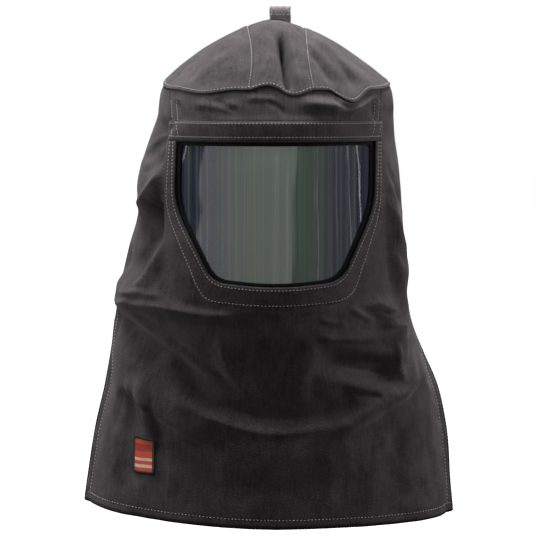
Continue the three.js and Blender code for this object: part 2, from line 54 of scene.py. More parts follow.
# Adds a node. A value that is a (node, output) pair is linked, feeds is where its first output
# goes. A Mix node takes its colours at 6 and 7 and gives the mixed one at 2.
def addNode(tree, kind, values=None, feeds=None, **settings):
    node = tree.nodes.new(kind)
    for key, value in settings.items():
        setattr(node, key, value)
    for key, value in (values or {}).items():
        if isinstance(value, tuple) and isinstance(value[0], bpy.types.Node):
            tree.links.new(value[0].outputs[value[1]], node.inputs[key])
        else:
            node.inputs[key].default_value = value
    if feeds:
        tree.links.new(node.outputs[0], feeds[0].inputs[feeds[1]])
    return node


def newMaterial(name, sockets):
    material = bpy.data.materials.new(name)
    material.use_nodes = True
    tree = material.node_tree
    tree.nodes.clear()
    output = addNode(tree, "ShaderNodeOutputMaterial")
    shader = addNode(tree, "ShaderNodeBsdfPrincipled", sockets, feeds=(output, "Surface"))
    return material, tree, shader


# Camera and studio

view = {"target": (-0.005, 0.0, -0.307), "distance": 2.6, "elevation": 5.0, "lens": 139.7}

studio = {
    "backdrop": "#ffffff", "ambient": 0.125, "floorLevel": -1.15, "floorSize": 30.0, "aim": (0, 0, -0.3),
}

# Name, place, width and height, power, and the rays that pass the lamp by. Only gloss meets the
# mirrored cards, and that is the shield's.
softboxes = [
    ("top softbox", (-0.15, 0.3, 1.3), (1.6, 1.0), 61.0, None),
    ("side softbox", (-1.5, -0.2, 0.35), (0.7, 0.9), 10.0, "visible_glossy"),
    ("side softbox", (1.5, -0.2, 0.35), (0.7, 0.9), 13.0, "visible_glossy"),
    ("front fill", (-0.3, -3.2, 1.2), (2.0, 1.2), 1.2, None),
    ("mirrored card", (-1.0, -2.4, 0.2), (4.8, 3.0), 44.0, "visible_diffuse"),
    ("mirrored dim card", (2.0, -1.7, 0.2), (2.4, 3.0), 3.0, "visible_diffuse"),
]

# Narrow upright strips on a ring round the hood, mirrored in the shield: turn in degrees and power
strips = {
    "radius": 2.2, "size": (0.04, 1.4), "height": -0.2, "aim": (0, 0, -0.25),
    "turns": ((-88, 0.6), (3, 0.12), (14, 0.16), (24, 0.08), (41, 0.2), (60, 0.1), (74, 0.25), (86, 0.6)),
}


def addCamera():
    lean = math.radians(view["elevation"])
    away = Vector((0, -math.cos(lean), math.sin(lean))) * view["distance"]
    data = bpy.data.cameras.new("camera")
    data.lens = view["lens"]
    data.sensor_width = 36
    data.clip_end = 100
    camera = bpy.data.objects.new("camera", data)
    camera.location = Vector(view["target"]) + away
    camera.rotation_euler = (math.pi / 2 - lean, 0, 0)
    scene.collection.objects.link(camera)
    scene.camera = camera


def addSoftbox(name, place, towards, size, power, passedBy):
    data = bpy.data.lights.new(name, "AREA")
    data.shape = "RECTANGLE"
    data.size, data.size_y = size
    data.energy = power
    lamp = bpy.data.objects.new(name, data)
    lamp.location = place
    lamp.rotation_euler = (Vector(towards) - Vector(place)).to_track_quat("-Z", "Y").to_euler()
    lamp.visible_camera = False
    if passedBy:
        setattr(lamp, passedBy, False)
    scene.collection.objects.link(lamp)


board = {"colour": "#f4f4f4", "glow": 1.15, "grain": 60.0}


# Painted board, matte: pale and even, so that it runs into the backdrop
def paleFloor():
    material, tree, shader = newMaterial("painted board, matte white", {
        "Emission Strength": board["glow"], "Roughness": 0.9,
    })
    place = addNode(tree, "ShaderNodeTexCoord")
    grain = addNode(tree, "ShaderNodeTexNoise", {"Vector": (place, "Object"), "Scale": board["grain"]})
    tone = addNode(tree, "ShaderNodeMix", {
        "Factor": (grain, "Fac"), 6: linear(board["colour"]), 7: linear(studio["backdrop"]),
    }, data_type="RGBA")
    tree.links.new(tone.outputs[2], shader.inputs["Base Color"])
    tree.links.new(tone.outputs[2], shader.inputs["Emission Color"])
    return material


def addStudio():
    world = bpy.data.worlds.new("studio")
    scene.world = world
    world.use_nodes = True
    tree = world.node_tree
    tree.nodes.clear()
    white = linear(studio["backdrop"])
    output = addNode(tree, "ShaderNodeOutputWorld")
    path = addNode(tree, "ShaderNodeLightPath")
    seen = addNode(tree, "ShaderNodeBackground", {"Color": white, "Strength": 1.0})
    soft = addNode(tree, "ShaderNodeBackground", {"Color": white, "Strength": studio["ambient"]})
    addNode(tree, "ShaderNodeMixShader", {0: (path, "Is Camera Ray"), 1: (soft, 0), 2: (seen, 0)},
            feeds=(output, "Surface"))
    for name, place, size, power, passedBy in softboxes:
        addSoftbox(name, place, studio["aim"], size, power, passedBy)
    for turn, power in strips["turns"]:
        angle = math.radians(turn)
        place = (strips["radius"] * math.sin(angle), -strips["radius"] * math.cos(angle), strips["height"])
        addSoftbox("mirrored strip", place, strips["aim"], strips["size"], power, "visible_diffuse")
    bm = bmesh.new()
    bmesh.ops.create_grid(bm, x_segments=1, y_segments=1, size=studio["floorSize"] / 2)
    bmesh.ops.translate(bm, verts=bm.verts, vec=(0, 0, studio["floorLevel"]))
    floor = addPiece("studio_floor", bm, paleFloor())
    floor.visible_diffuse = False
    floor.visible_glossy = False


# Form of the hood. Everything that is sewn on it is placed by clothPoint.

hood = {
    "crownDrop": 0.086, "browHeight": 0.036, "topBandHeight": 0.024, "windowHeight": 0.171,
    "lowerBandHeight": 0.024, "collarHeight": 0.031, "bibLength": 0.229,
    "windowWidth": 0.239, "windowShift": 0.0035, "cheekWidth": 0.104, "browFlare": 0.015,
    "depth": 0.3, "seamBehind": 0.006, "bibForward": 0.078, "bibBehind": 0.055,
    "wall": 0.002, "seamGap": 0.0003, "crownLap": 0.0018, "tuck": 0.0028,
    "cornerRise": 0.012, "seamWave": 0.012, "foldDepth": 0.016, "crownRound": 1.6,
    "hemRiseLeft": 0.016, "hemRiseRight": 0.003, "bandTuck": 0.006,
    "stripLeft": 0.028, "stripRight": 0.043, "stripSlant": 0.004,
}
hoodWidth = hood["windowWidth"] + 2 * hood["cheekWidth"]
windowDrop = hood["crownDrop"] + hood["browHeight"] + hood["topBandHeight"]
slitDrop = windowDrop + hood["windowHeight"] + hood["lowerBandHeight"] + hood["collarHeight"]
hoodHeight = slitDrop + hood["bibLength"]

# Level down the hood, left and right of the width, front and back of the depth, squareness
sections = np.array([
    (0.08, 0.262, 0.284, 0.405, 0.415, 2.4),
    (0.14, 0.306, 0.327, 0.437, 0.427, 2.35),
    (0.17, 0.314, 0.337, 0.472, 0.430, 2.3),
    (0.195, 0.318, 0.338, 0.504, 0.433, 2.2),
    (0.24, 0.340, 0.342, 0.520, 0.437, 2.1),
    (0.29, 0.362, 0.352, 0.537, 0.447, 2.05),
    (0.34, 0.376, 0.358, 0.547, 0.457, 2),
    (0.39, 0.372, 0.363, 0.553, 0.467, 2),
    (0.465, 0.400, 0.369, 0.560, 0.487, 2),
    (0.54, 0.423, 0.376, 0.560, 0.500, 1.95),
    (0.615, 0.441, 0.389, 0.547, 0.507, 1.9),
    (0.68, 0.449, 0.420, 0.510, 0.503, 1.9),
    (0.75, 0.463, 0.458, 0.477, 0.500, 1.9),
    (0.82, 0.484, 0.478, 0.462, 0.500, 1.9),
    (0.87, 0.495, 0.485, 0.492, 0.503, 1.9),
    (0.93, 0.506, 0.488, 0.524, 0.507, 1.9),
    (1, 0.518, 0.495, 0.553, 0.513, 1.9),
])
columnOf = {"left": 1, "right": 2, "front": 3, "back": 4, "square": 5}

# Across and down of a fold's start, bend and end, its width above or to the right and below or
# to the left, its rise as a share of foldDepth, and how crisp its crest is
frontFolds = [
    (-0.32, 0.7, -0.01, 0.93, 0.35, 0.74, 0.05, 0.16, 1.1, 0),  # swag across the chest
    (-0.48, 0.578, -0.25, 0.565, -0.06, 0.59, 0.1, 0.035, 0.6, 0.2),  # cloth that breaks over the shoulder
    (-0.48, 0.6, -0.33, 0.63, -0.12, 0.76, 0.04, 0.09, -0.8, 0.3),  # hollow below it
    (0.35, 0.72, 0.26, 0.69, 0.1, 0.675, 0.05, 0.06, -0.9, 0),  # pocket at the right of the chest
    (0.29, 0.57, 0.365, 0.63, 0.36, 0.757, 0.04, 0.05, 0.6, 0),
    (0.19, 0.74, 0.29, 0.735, 0.39, 0.765, 0.035, 0.09, 0.5, 0),
    (-0.26, 0.2, -0.31, 0.25, -0.34, 0.3, 0.05, 0.05, -0.6, 0),  # gathers left of the window
    (-0.26, 0.31, -0.31, 0.345, -0.36, 0.4, 0.035, 0.045, 0.55, 0),
    (-0.28, 0.36, -0.33, 0.43, -0.41, 0.55, 0.04, 0.06, -0.9, 0),
    (-0.28, 0.43, -0.33, 0.51, -0.42, 0.565, 0.05, 0.07, 0.45, 0),
    (0.285, 0.26, 0.31, 0.43, 0.37, 0.57, 0.05, 0.03, 0.75, 0.3),  # long fold down the right side
    (0.27, 0.33, 0.275, 0.41, 0.295, 0.5, 0.025, 0.03, -0.5, 0),
    (-0.14, 0.62, -0.12, 0.71, -0.02, 0.78, 0.04, 0.04, 0.25, 0),  # hanging folds below the window
    (0.12, 0.62, 0.07, 0.69, 0.07, 0.77, 0.04, 0.04, 0.25, 0),
    (-0.35, 0.7, -0.34, 0.78, -0.32, 0.86, 0.03, 0.03, 0.4, 0),  # down the bib
    (-0.38, 0.73, -0.39, 0.82, -0.4, 0.96, 0.045, 0.04, -0.45, 0),
    (0.32, 0.8, 0.335, 0.88, 0.32, 0.97, 0.05, 0.06, -0.35, 0),
    (-0.28, 0.38, -0.32, 0.47, -0.4, 0.55, 0.03, 0.06, -0.45, 0.2),  # hollow down the left flank
    (0.31, 0.45, 0.335, 0.53, 0.375, 0.6, 0.02, 0.02, 0.4, 0.5),
    (-0.42, 0.72, -0.3, 0.8, -0.12, 0.84, 0.09, 0.03, 0.6, 0.1),  # slack cloth above the swag
    (0.12, 0.83, 0.28, 0.78, 0.44, 0.7, 0.08, 0.03, 0.5, 0.1),
    (-0.2, 0.192, 0.02, 0.198, 0.25, 0.194, 0.035, 0.02, -0.15, 0),  # crease above the top band
    (0.07, 0.165, 0.15, 0.178, 0.25, 0.168, 0.03, 0.03, 0.35, 0),
    (-0.357, 0.666, -0.258, 0.74, -0.123, 0.809, 0.012, 0.03, 0.14, 0.8),  # crest of the swag
    (-0.221, 0.757, -0.009, 0.858, 0.211, 0.781, 0.012, 0.02, 0.34, 0.9),
    (0.105, 0.817, 0.212, 0.793, 0.311, 0.737, 0.012, 0.03, 0.14, 0.8),
    (-0.413, 0.582, -0.353, 0.559, -0.167, 0.586, 0.03, 0.008, 0.3, 0.8),  # crest of the shoulder break
    (-0.419, 0.573, -0.394, 0.575, -0.358, 0.559, 0.01, 0.012, 0.25, 0.6),
    (-0.404, 0.585, -0.28, 0.614, -0.052, 0.756, 0.03, 0.02, -0.3, 0.8),
    (-0.143, 0.605, -0.136, 0.695, -0.048, 0.75, 0.012, 0.02, 0.12, 0.7),
    (-0.179, 0.632, -0.129, 0.685, -0.108, 0.722, 0.012, 0.015, 0.08, 0.6),
    (0.087, 0.648, 0.055, 0.695, 0.041, 0.743, 0.012, 0.015, 0.1, 0.6),
    (-0.073, 0.77, -0.016, 0.813, 0.006, 0.813, 0.02, 0.02, -0.12, 0.5),
    (0.098, 0.624, 0.205, 0.637, 0.319, 0.637, 0.03, 0.012, 0.32, 0.8),  # edges of the pocket
    (0.148, 0.679, 0.241, 0.679, 0.327, 0.689, 0.03, 0.03, -0.35, 0.4),
    (0.192, 0.69, 0.271, 0.701, 0.328, 0.711, 0.015, 0.01, -0.3, 0.8),
    (0.323, 0.641, 0.339, 0.679, 0.339, 0.722, 0.01, 0.01, 0.3, 0.7),
    (0.375, 0.638, 0.364, 0.681, 0.347, 0.73, 0.016, 0.016, -0.3, 0.5),
    (0.185, 0.729, 0.257, 0.72, 0.329, 0.732, 0.01, 0.02, 0.22, 0.7),
    (0.214, 0.751, 0.25, 0.74, 0.286, 0.754, 0.014, 0.014, -0.28, 0.5),
    (0.294, 0.748, 0.323, 0.732, 0.359, 0.694, 0.01, 0.012, 0.14, 0.6),
    (0.199, 0.558, 0.22, 0.584, 0.278, 0.601, 0.012, 0.016, 0.3, 0.6),  # crumples at the right shoulder
    (0.281, 0.609, 0.325, 0.611, 0.368, 0.623, 0.012, 0.012, 0.28, 0.6),
    (0.274, 0.579, 0.317, 0.592, 0.365, 0.611, 0.012, 0.012, -0.3, 0.5),
    (0.119, 0.586, 0.162, 0.602, 0.204, 0.599, 0.014, 0.016, 0.18, 0.5),
    (0.148, 0.629, 0.212, 0.619, 0.255, 0.605, 0.014, 0.014, -0.18, 0.5),
    (0.2, 0.5, 0.26, 0.56, 0.335, 0.6, 0.05, 0.035, 0.75, 0.3),
    (-0.164, 0.586, 0.02, 0.596, 0.182, 0.573, 0.02, 0.05, -0.16, 0.2),
    (-0.413, 0.533, -0.395, 0.544, -0.337, 0.533, 0.014, 0.016, -0.25, 0.5),  # left shoulder
    (-0.4, 0.552, -0.356, 0.541, -0.269, 0.552, 0.016, 0.016, 0.22, 0.4),
    (-0.391, 0.717, -0.377, 0.771, -0.349, 0.825, 0.012, 0.014, 0.22, 0.6),  # left of the bib
    (-0.412, 0.742, -0.42, 0.786, -0.438, 0.84, 0.02, 0.02, -0.22, 0.4),
    (-0.3, 0.66, -0.26, 0.71, -0.2, 0.8, 0.04, 0.05, 0.4, 0.3),
    (-0.397, 0.677, -0.354, 0.704, -0.289, 0.714, 0.012, 0.02, 0.12, 0.4),
    (0.39, 0.66, 0.413, 0.715, 0.442, 0.764, 0.02, 0.02, 0.16, 0.3),  # right of the bib
    (0.432, 0.78, 0.439, 0.856, 0.455, 0.944, 0.02, 0.02, 0.12, 0.2),
    (0.27, 0.86, 0.33, 0.8, 0.42, 0.77, 0.04, 0.05, 0.35, 0.3),
    (-0.295, 0.797, -0.288, 0.883, -0.296, 0.959, 0.02, 0.03, -0.12, 0.2),  # soft waves to the hem
    (-0.123, 0.857, -0.137, 0.911, -0.13, 0.986, 0.03, 0.03, 0.12, 0.2),
    (0.148, 0.857, 0.163, 0.921, 0.156, 0.986, 0.03, 0.03, 0.1, 0.2),
    (-0.272, 0.297, -0.324, 0.32, -0.361, 0.393, 0.016, 0.02, 0.35, 0.6),  # left of the window
    (-0.272, 0.249, -0.307, 0.28, -0.349, 0.316, 0.02, 0.02, -0.3, 0.4),
    (-0.27, 0.328, -0.31, 0.372, -0.37, 0.476, 0.02, 0.03, -0.6, 0.4),
    (-0.3, 0.367, -0.342, 0.424, -0.398, 0.497, 0.016, 0.02, 0.16, 0.4),
    (-0.287, 0.228, -0.329, 0.239, -0.358, 0.28, 0.012, 0.014, 0.18, 0.5),
    (0.284, 0.314, 0.324, 0.397, 0.356, 0.506, 0.01, 0.014, 0.22, 0.7),  # right of the window
    (0.291, 0.264, 0.327, 0.321, 0.351, 0.389, 0.014, 0.018, -0.25, 0.4),
    (0.298, 0.351, 0.311, 0.423, 0.339, 0.5, 0.008, 0.01, -0.14, 0.5),
    (-0.263, 0.16, -0.24, 0.181, -0.226, 0.216, 0.01, 0.012, -0.25, 0.5),  # brow
    (-0.223, 0.165, -0.156, 0.178, -0.075, 0.17, 0.02, 0.02, 0.2, 0.3),
    (-0.163, 0.163, -0.122, 0.17, -0.089, 0.185, 0.014, 0.014, -0.2, 0.4),
    (-0.021, 0.16, 0.012, 0.17, 0.039, 0.192, 0.014, 0.014, -0.14, 0.5),
    (-0.075, 0.16, -0.028, 0.152, 0.019, 0.165, 0.014, 0.018, 0.18, 0.4),
    (0.059, 0.165, 0.139, 0.162, 0.186, 0.18, 0.02, 0.02, 0.22, 0.3),
    (0.154, 0.155, 0.181, 0.175, 0.221, 0.18, 0.01, 0.014, -0.2, 0.5),
    (0.189, 0.185, 0.236, 0.178, 0.284, 0.15, 0.012, 0.016, 0.22, 0.5),
    (0.272, 0.155, 0.269, 0.181, 0.276, 0.206, 0.01, 0.012, -0.2, 0.5),
]

backFolds = [
    (-0.26, 0.33, 0, 0.38, 0.26, 0.33, 0.06, 0.09, -0.5, 0),
    (-0.2, 0.36, -0.17, 0.6, -0.22, 1.05, 0.09, 0.09, 0.6, 0),
    (0.02, 0.42, -0.02, 0.7, 0.03, 1.05, 0.08, 0.08, -0.5, 0),
    (0.2, 0.36, 0.23, 0.6, 0.2, 1.05, 0.09, 0.09, 0.6, 0),
    (-0.3, 0.35, -0.24, 0.42, -0.1, 0.46, 0.02, 0.03, 0.25, 0.5),  # creases at the nape
    (0.32, 0.36, 0.2, 0.44, 0.06, 0.45, 0.02, 0.03, 0.25, 0.5),
    (-0.12, 0.5, -0.08, 0.62, -0.11, 0.8, 0.03, 0.03, -0.2, 0.3),
    (0.13, 0.48, 0.11, 0.6, 0.14, 0.85, 0.03, 0.03, 0.18, 0.3),
    (-0.38, 0.56, -0.25, 0.6, -0.14, 0.72, 0.02, 0.03, 0.22, 0.5),
    (0.4, 0.57, 0.3, 0.62, 0.18, 0.75, 0.02, 0.03, 0.22, 0.5),
]

crownFolds = [
    (0.015, 0.02, 0.035, 0.086, 0.045, 0.16, 0.03, 0.03, -0.8, 0),
    (0.1, 0.03, 0.16, 0.08, 0.2, 0.13, 0.05, 0.035, 0.35, 0),
    (-0.08, 0.03, -0.13, 0.08, -0.2, 0.125, 0.05, 0.06, 0.3, 0),
    (0.018, 0.03, 0.036, 0.09, 0.04, 0.16, 0.018, 0.01, -1.2, 0.5),  # pleat down the strip
    (-0.005, 0.029, 0.012, 0.08, 0.021, 0.14, 0.014, 0.01, 0.16, 0.5),
    (0.05, 0.049, 0.067, 0.095, 0.071, 0.14, 0.012, 0.014, 0.14, 0.4),
    (0.116, 0.038, 0.171, 0.074, 0.247, 0.13, 0.03, 0.02, 0.2, 0.4),
    (0.108, 0.064, 0.142, 0.1, 0.17, 0.135, 0.02, 0.02, -0.2, 0.3),
    (0.194, 0.063, 0.243, 0.094, 0.285, 0.12, 0.02, 0.02, -0.18, 0.3),
    (-0.133, 0.058, -0.188, 0.089, -0.251, 0.13, 0.02, 0.02, -0.1, 0.2),
    (-0.035, 0.059, -0.039, 0.09, -0.049, 0.125, 0.012, 0.012, -0.1, 0.3),
]

# Across, half width and dip of the waves of the cap seam
seamWaves = [(-0.18, 0.08, 0.35), (-0.015, 0.05, -0.45), (0.06, 0.05, 0.55), (0.205, 0.06, 1.2)]

# Corners of the window: across, down, rounding, and how far the lower band reaches sideways and below
windowCorners = [
    (-0.98, 0, 0.03, -0.42, 0),
    (-1, 0.44, 0.14, -0.52, 0.3),
    (-0.62, 0.96, 0.1, -0.45, 1),
    (0, 1, 0.3, 0, 1),
    (0.66, 0.96, 0.12, 0.5, 1),
    (0.99, 0.45, 0.14, 0.36, 0.3),
    (1, 0, 0.03, 0.36, 0),
]


def ease(share):
    share = np.clip(share, 0, 1)
    return share ** 2 * (3 - 2 * share)


# Reads a smooth curve through one column of the sections
def sectionValue(name, level):
    levels, values = sections[:, 0], sections[:, columnOf[name]]
    before = np.maximum(np.arange(len(levels)) - 1, 0)
    after = np.minimum(np.arange(len(levels)) + 1, len(levels) - 1)
    slopes = (values[after] - values[before]) / (levels[after] - levels[before])
    i = np.clip(np.searchsorted(levels, level, side="right") - 1, 0, len(levels) - 2)
    span = levels[i + 1] - levels[i]
    t = np.clip((level - levels[i]) / span, 0, 1)
    start = values[i] * (2 * t ** 3 - 3 * t ** 2 + 1) + slopes[i] * span * (t ** 3 - 2 * t ** 2 + t)
    return start + values[i + 1] * (3 * t ** 2 - 2 * t ** 3) + slopes[i + 1] * span * (t ** 3 - t ** 2)


# Height of one fold, as a share of foldDepth, from the nearest point of its bent line
def foldHeight(fold, across, down):
    steps = 14
    x0, d0, x1, d1, x2, d2, over, under, rise, crisp = fold
    t = np.linspace(0, 1, steps + 1)
    lineX = ((1 - t) ** 2 * x0 + 2 * t * (1 - t) * x1 + t ** 2 * x2) * hoodWidth
    lineD = ((1 - t) ** 2 * d0 + 2 * t * (1 - t) * d1 + t ** 2 * d2) * hoodHeight
    nearest = np.full(across.shape, np.inf)
    below, along = np.zeros(across.shape, bool), np.zeros(across.shape)
    for i in range(steps):
        stepX, stepD = lineX[i + 1] - lineX[i], lineD[i + 1] - lineD[i]
        share = ((across - lineX[i]) * stepX + (down - lineD[i]) * stepD) / (stepX ** 2 + stepD ** 2)
        share = np.clip(share, 0, 1)
        offX, offD = across - lineX[i] - share * stepX, down - lineD[i] - share * stepD
        gap = np.hypot(offX, offD)
        closer = gap < nearest
        nearest = np.where(closer, gap, nearest)
        below = np.where(closer, stepX * offD - stepD * offX > 0, below)
        along = np.where(closer, (i + share) / steps, along)
    away = np.clip(nearest / (np.where(below, under, over) * hoodWidth), 0, 1)
    profile = (1 - crisp) * (1 - away ** 2) ** 2 + crisp * (1 - away) ** 2
    return rise * profile * ease(along / 0.25) * ease((1 - along) / 0.25)


# Even random hills of one size, from -1 to 1, that repeat after 64 of them
def roughness(across, down, size, seed):
    cells = np.random.default_rng(seed).uniform(-1, 1, (64, 64))
    x, d = across / size + 32.5, down / size + 7.5
    i, j = np.floor(x).astype(int), np.floor(d).astype(int)
    u, v = ease(x - i), ease(d - j)

    def corner(a, b):
        return cells[(i + a) % 64, (j + b) % 64]

    upper = corner(0, 0) * (1 - u) + corner(1, 0) * u
    lower = corner(0, 1) * (1 - u) + corner(1, 1) * u
    return upper * (1 - v) + lower * v


rumple = {"broad": 0.034, "broadRise": 0.0014, "fine": 0.014, "fineRise": 0.0005, "bend": 0.02}


def rumpleHeight(across, down, seed):
    bend = rumple["bend"]
    bentX = across + bend * roughness(across, down, 0.05, seed + 1)
    bentD = down + bend * roughness(across, down, 0.05, seed + 2)
    broad = roughness(bentX, bentD * 0.7, rumple["broad"], seed) * rumple["broadRise"]
    return broad + roughness(bentX, bentD, rumple["fine"], seed + 3) * rumple["fineRise"]


# The relief of one side, worked out once on an even net and read between its knots
def reliefNet(folds, seed):
    step, low, high = 0.0015, (-0.3, 0.0), (0.3, 0.66)
    xs = np.arange(low[0], high[0], step)
    ds = np.arange(low[1], high[1], step)
    across, down = np.meshgrid(xs, ds, indexing="ij")
    height = rumpleHeight(across, down, seed)
    for fold in folds:
        reach = max(fold[6], fold[7]) * hoodWidth
        linesX = np.array(fold[0:6:2]) * hoodWidth
        linesD = np.array(fold[1:6:2]) * hoodHeight
        i = slice(*np.searchsorted(xs, [linesX.min() - reach, linesX.max() + reach]))
        j = slice(*np.searchsorted(ds, [linesD.min() - reach, linesD.max() + reach]))
        height[i, j] += foldHeight(fold, across[i, j], down[i, j]) * hood["foldDepth"]

    def read(atX, atD):
        x = np.clip((atX - low[0]) / step, 0, len(xs) - 1.001)
        d = np.clip((atD - low[1]) / step, 0, len(ds) - 1.001)
        i, j = x.astype(int), d.astype(int)
        u, v = x - i, d - j
        upper = height[i, j] * (1 - u) + height[i + 1, j] * u
        lower = height[i, j + 1] * (1 - u) + height[i + 1, j + 1] * u
        return upper * (1 - v) + lower * v
    return read


relief = {
    "front": reliefNet(frontFolds, 11),
    "back": reliefNet(backFolds, 23),
    "crown": reliefNet(crownFolds, 37),
}
print("folds laid out")


def slitOpening(down):
    return np.clip((down - slitDrop) / hood["bibLength"], 0, 1) ** 0.8


# Nothing is folded where the window and its bands are
def freeToFold(across, down):
    reachAcross = hood["windowWidth"] / 2 + hood["lowerBandHeight"] / 2
    top = windowDrop - hood["topBandHeight"]
    reachDown = (windowDrop + hood["windowHeight"] + hood["lowerBandHeight"] - top) / 2
    x = np.abs(across - hood["windowShift"]) / reachAcross
    z = np.abs(down - top - reachDown) / reachDown
    return ease(((x ** 6 + z ** 6) ** (1 / 6) - 1) / 0.08)


# The stitched edge of the bib stands out a little from the cloth beside it
curl = {"depth": 0.0055, "edge": 0.013, "fade": 0.05, "start": 0.06}


def edgeCurl(around, down, reach):
    far = (1 - np.abs(around)) * math.pi / 2 * reach
    bend = np.sin(np.clip(far / curl["edge"], 0, 1) * math.pi / 2)
    bend = bend * (1 - ease((far - curl["edge"]) / curl["fade"]))
    return -curl["depth"] * bend * ease((down - slitDrop - 0.01) / curl["start"])


# A place on the outer face of one side: around from -1 at its left edge to 1, and down in metres
def clothPoint(side, around, down):
    around, down = np.broadcast_arrays(np.asarray(around, float), np.asarray(down, float))
    front = side == "front"
    level = down / hoodHeight
    half = np.where(around < 0, sectionValue("left", level), sectionValue("right", level)) * hoodWidth
    edge = hood["seamBehind"] + slitOpening(down) * (-hood["bibForward"] if front else hood["bibBehind"])
    reach = sectionValue(side, level) * hood["depth"] + (edge if front else -edge)
    square = sectionValue("square", level)
    angle = around * math.pi / 2
    sideways = np.abs(np.sin(angle)) ** (2 / square)
    forward = np.where(np.abs(around) < 1, np.abs(np.cos(angle)), 0) ** (2 / square)
    across = np.sign(around) * half * sideways
    away = (-1 if front else 1) * reach * forward
    outX = np.sign(across) * sideways ** (square - 1) / half
    outY = (-1 if front else 1) * forward ** (square - 1) / reach
    steep = np.maximum(np.hypot(outX, outY), 1e-9)
    free = ease((1 - np.abs(around)) / 0.07) * (freeToFold(across, down) if front else 1)
    lift = relief[side](across, down) * free + edgeCurl(around, down, reach)
    return np.stack([across + outX / steep * lift, edge + away + outY / steep * lift, -down], -1)


def outwardOf(side, around, down):
    stepA, stepD = 0.006, 0.0015
    right = clothPoint(side, np.minimum(around + stepA, 1), down)
    left = clothPoint(side, np.maximum(around - stepA, -1), down)
    below = clothPoint(side, around, down + stepD)
    above = clothPoint(side, around, down - stepD)
    normal = np.cross(below - above, right - left) * (1 if side == "front" else -1)
    return normal / np.maximum(np.linalg.norm(normal, axis=-1, keepdims=True), 1e-12)


def clothOffset(side, around, down, distance):
    distance = np.asarray(distance, float)[..., None]
    return clothPoint(side, around, down) + outwardOf(side, around, down) * distance


# The place around the front where a point seen at some distance across lies
def frontAround(across, down):
    across, down = np.broadcast_arrays(np.asarray(across, float), np.asarray(down, float))
    level = down / hoodHeight
    half = np.where(across < 0, sectionValue("left", level), sectionValue("right", level)) * hoodWidth
    square = sectionValue("square", level)
    wanted = across
    for _ in range(4):
        share = np.clip(np.abs(wanted) / half, 0, 1) ** (square / 2)
        around = np.sign(wanted) * np.arcsin(share) * 2 / math.pi
        wanted = wanted + (across - clothPoint("front", around, down)[..., 0])
    return around


def frontOffset(across, down, distance):
    return clothOffset("front", frontAround(across, down), down, distance)


def seamDrop(side, around):
    around = np.asarray(around, float)
    even = hood["crownDrop"] - hood["cornerRise"] * np.abs(around) ** 5
    if side == "back":
        return even
    across = clothPoint(side, around, np.full(around.shape, hood["crownDrop"]))[..., 0]
    waves = 0
    for at, wide, dip in seamWaves:
        waves = waves + dip * (1 - np.clip(np.abs(across / hoodWidth - at) / wide, 0, 1) ** 2) ** 2
    return even + hood["seamWave"] * waves


def hemDrop(around):
    rise = np.where(around < 0, hood["hemRiseLeft"], hood["hemRiseRight"])
    return hoodHeight - rise * np.abs(np.sin(around * math.pi / 2)) ** 1.6


# Meshes

weld = 0.00005  # points nearer to each other than this are joined

def addPiece(name, bm, *materials):
    mesh = bpy.data.meshes.new(name)
    bm.to_mesh(mesh)
    bm.free()
    for material in materials:
        mesh.materials.append(material)
    piece = bpy.data.objects.new(name, mesh)
    scene.collection.objects.link(piece)
    return piece


# A flat net of cells that holds its two coordinates, both from 0 to 1, as x and y
def cellNet(columns, rows):
    bm = bmesh.new()
    bmesh.ops.create_grid(bm, x_segments=columns, y_segments=rows, size=0.5)
    bmesh.ops.translate(bm, verts=bm.verts, vec=(0.5, 0.5, 0))
    return bm


def netCoordinates(bm):
    found = np.array([v.co[:] for v in bm.verts])
    return found[:, 0], found[:, 1]


# Moves the net's corners to their places, keeps flat lengths as the cloth's own UV map, and
# turns the faces to look along outward, which gives a direction for each place
def drape(bm, places, flat, outward):
    bm.verts.ensure_lookup_table()
    for vert, place in zip(bm.verts, places.tolist()):
        vert.co = place
    layer = bm.loops.layers.uv.verify()
    flat = flat.tolist()
    for face in bm.faces:
        for loop in face.loops:
            loop[layer].uv = flat[loop.vert.index]
    bm.normal_update()
    turned = sum(f.normal.dot(Vector(outward[f.verts[0].index])) for f in bm.faces)
    if turned < 0:
        bmesh.ops.reverse_faces(bm, faces=bm.faces)
    for face in bm.faces:
        face.smooth = True


def thicken(piece, thickness):
    solid = piece.modifiers.new("cloth thickness", "SOLIDIFY")
    solid.thickness = thickness
    solid.offset = -1
    solid.use_quality_normals = True


def dress(piece, nodes):
    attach(piece, "root")
    if nodes:
        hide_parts(*nodes)


# Whether each point of the net lies inside a closed line
def insideLine(x, y, line):
    inside = np.zeros(x.shape, bool)
    for a, b in zip(line, np.roll(line, -1, axis=0)):
        crosses = (a[1] > y) != (b[1] > y)
        if crosses.any():
            at = a[0] + (y - a[1]) / (b[1] - a[1] if b[1] != a[1] else 1e-12) * (b[0] - a[0])
            inside ^= crosses & (x < at)
    return inside


# Cuts a hole along a closed line out of a net, or all but the inside, and fits the edge to the line
def cutAlong(bm, line, keepInside=False):
    x, y = netCoordinates(bm)
    inside = insideLine(x, y, line)
    gone = ~inside if keepInside else inside
    bm.verts.ensure_lookup_table()
    doomed = [f for f in bm.faces if all(gone[v.index] for v in f.verts)]
    kept = [f for f in bm.faces if not all(gone[v.index] for v in f.verts)]
    moving = {v for f in kept for v in f.verts if gone[v.index]}
    closed = np.vstack([line, line[:1]])
    a, b = closed[:-1], closed[1:]
    for vert in moving:
        p = np.array(vert.co[:2])
        t = np.clip(((p - a) * (b - a)).sum(1) / np.maximum(((b - a) ** 2).sum(1), 1e-15), 0, 1)
        q = a + t[:, None] * (b - a)
        best = q[np.argmin(((q - p) ** 2).sum(1))]
        vert.co = (best[0], best[1], 0)
    bmesh.ops.delete(bm, geom=doomed, context="FACES")


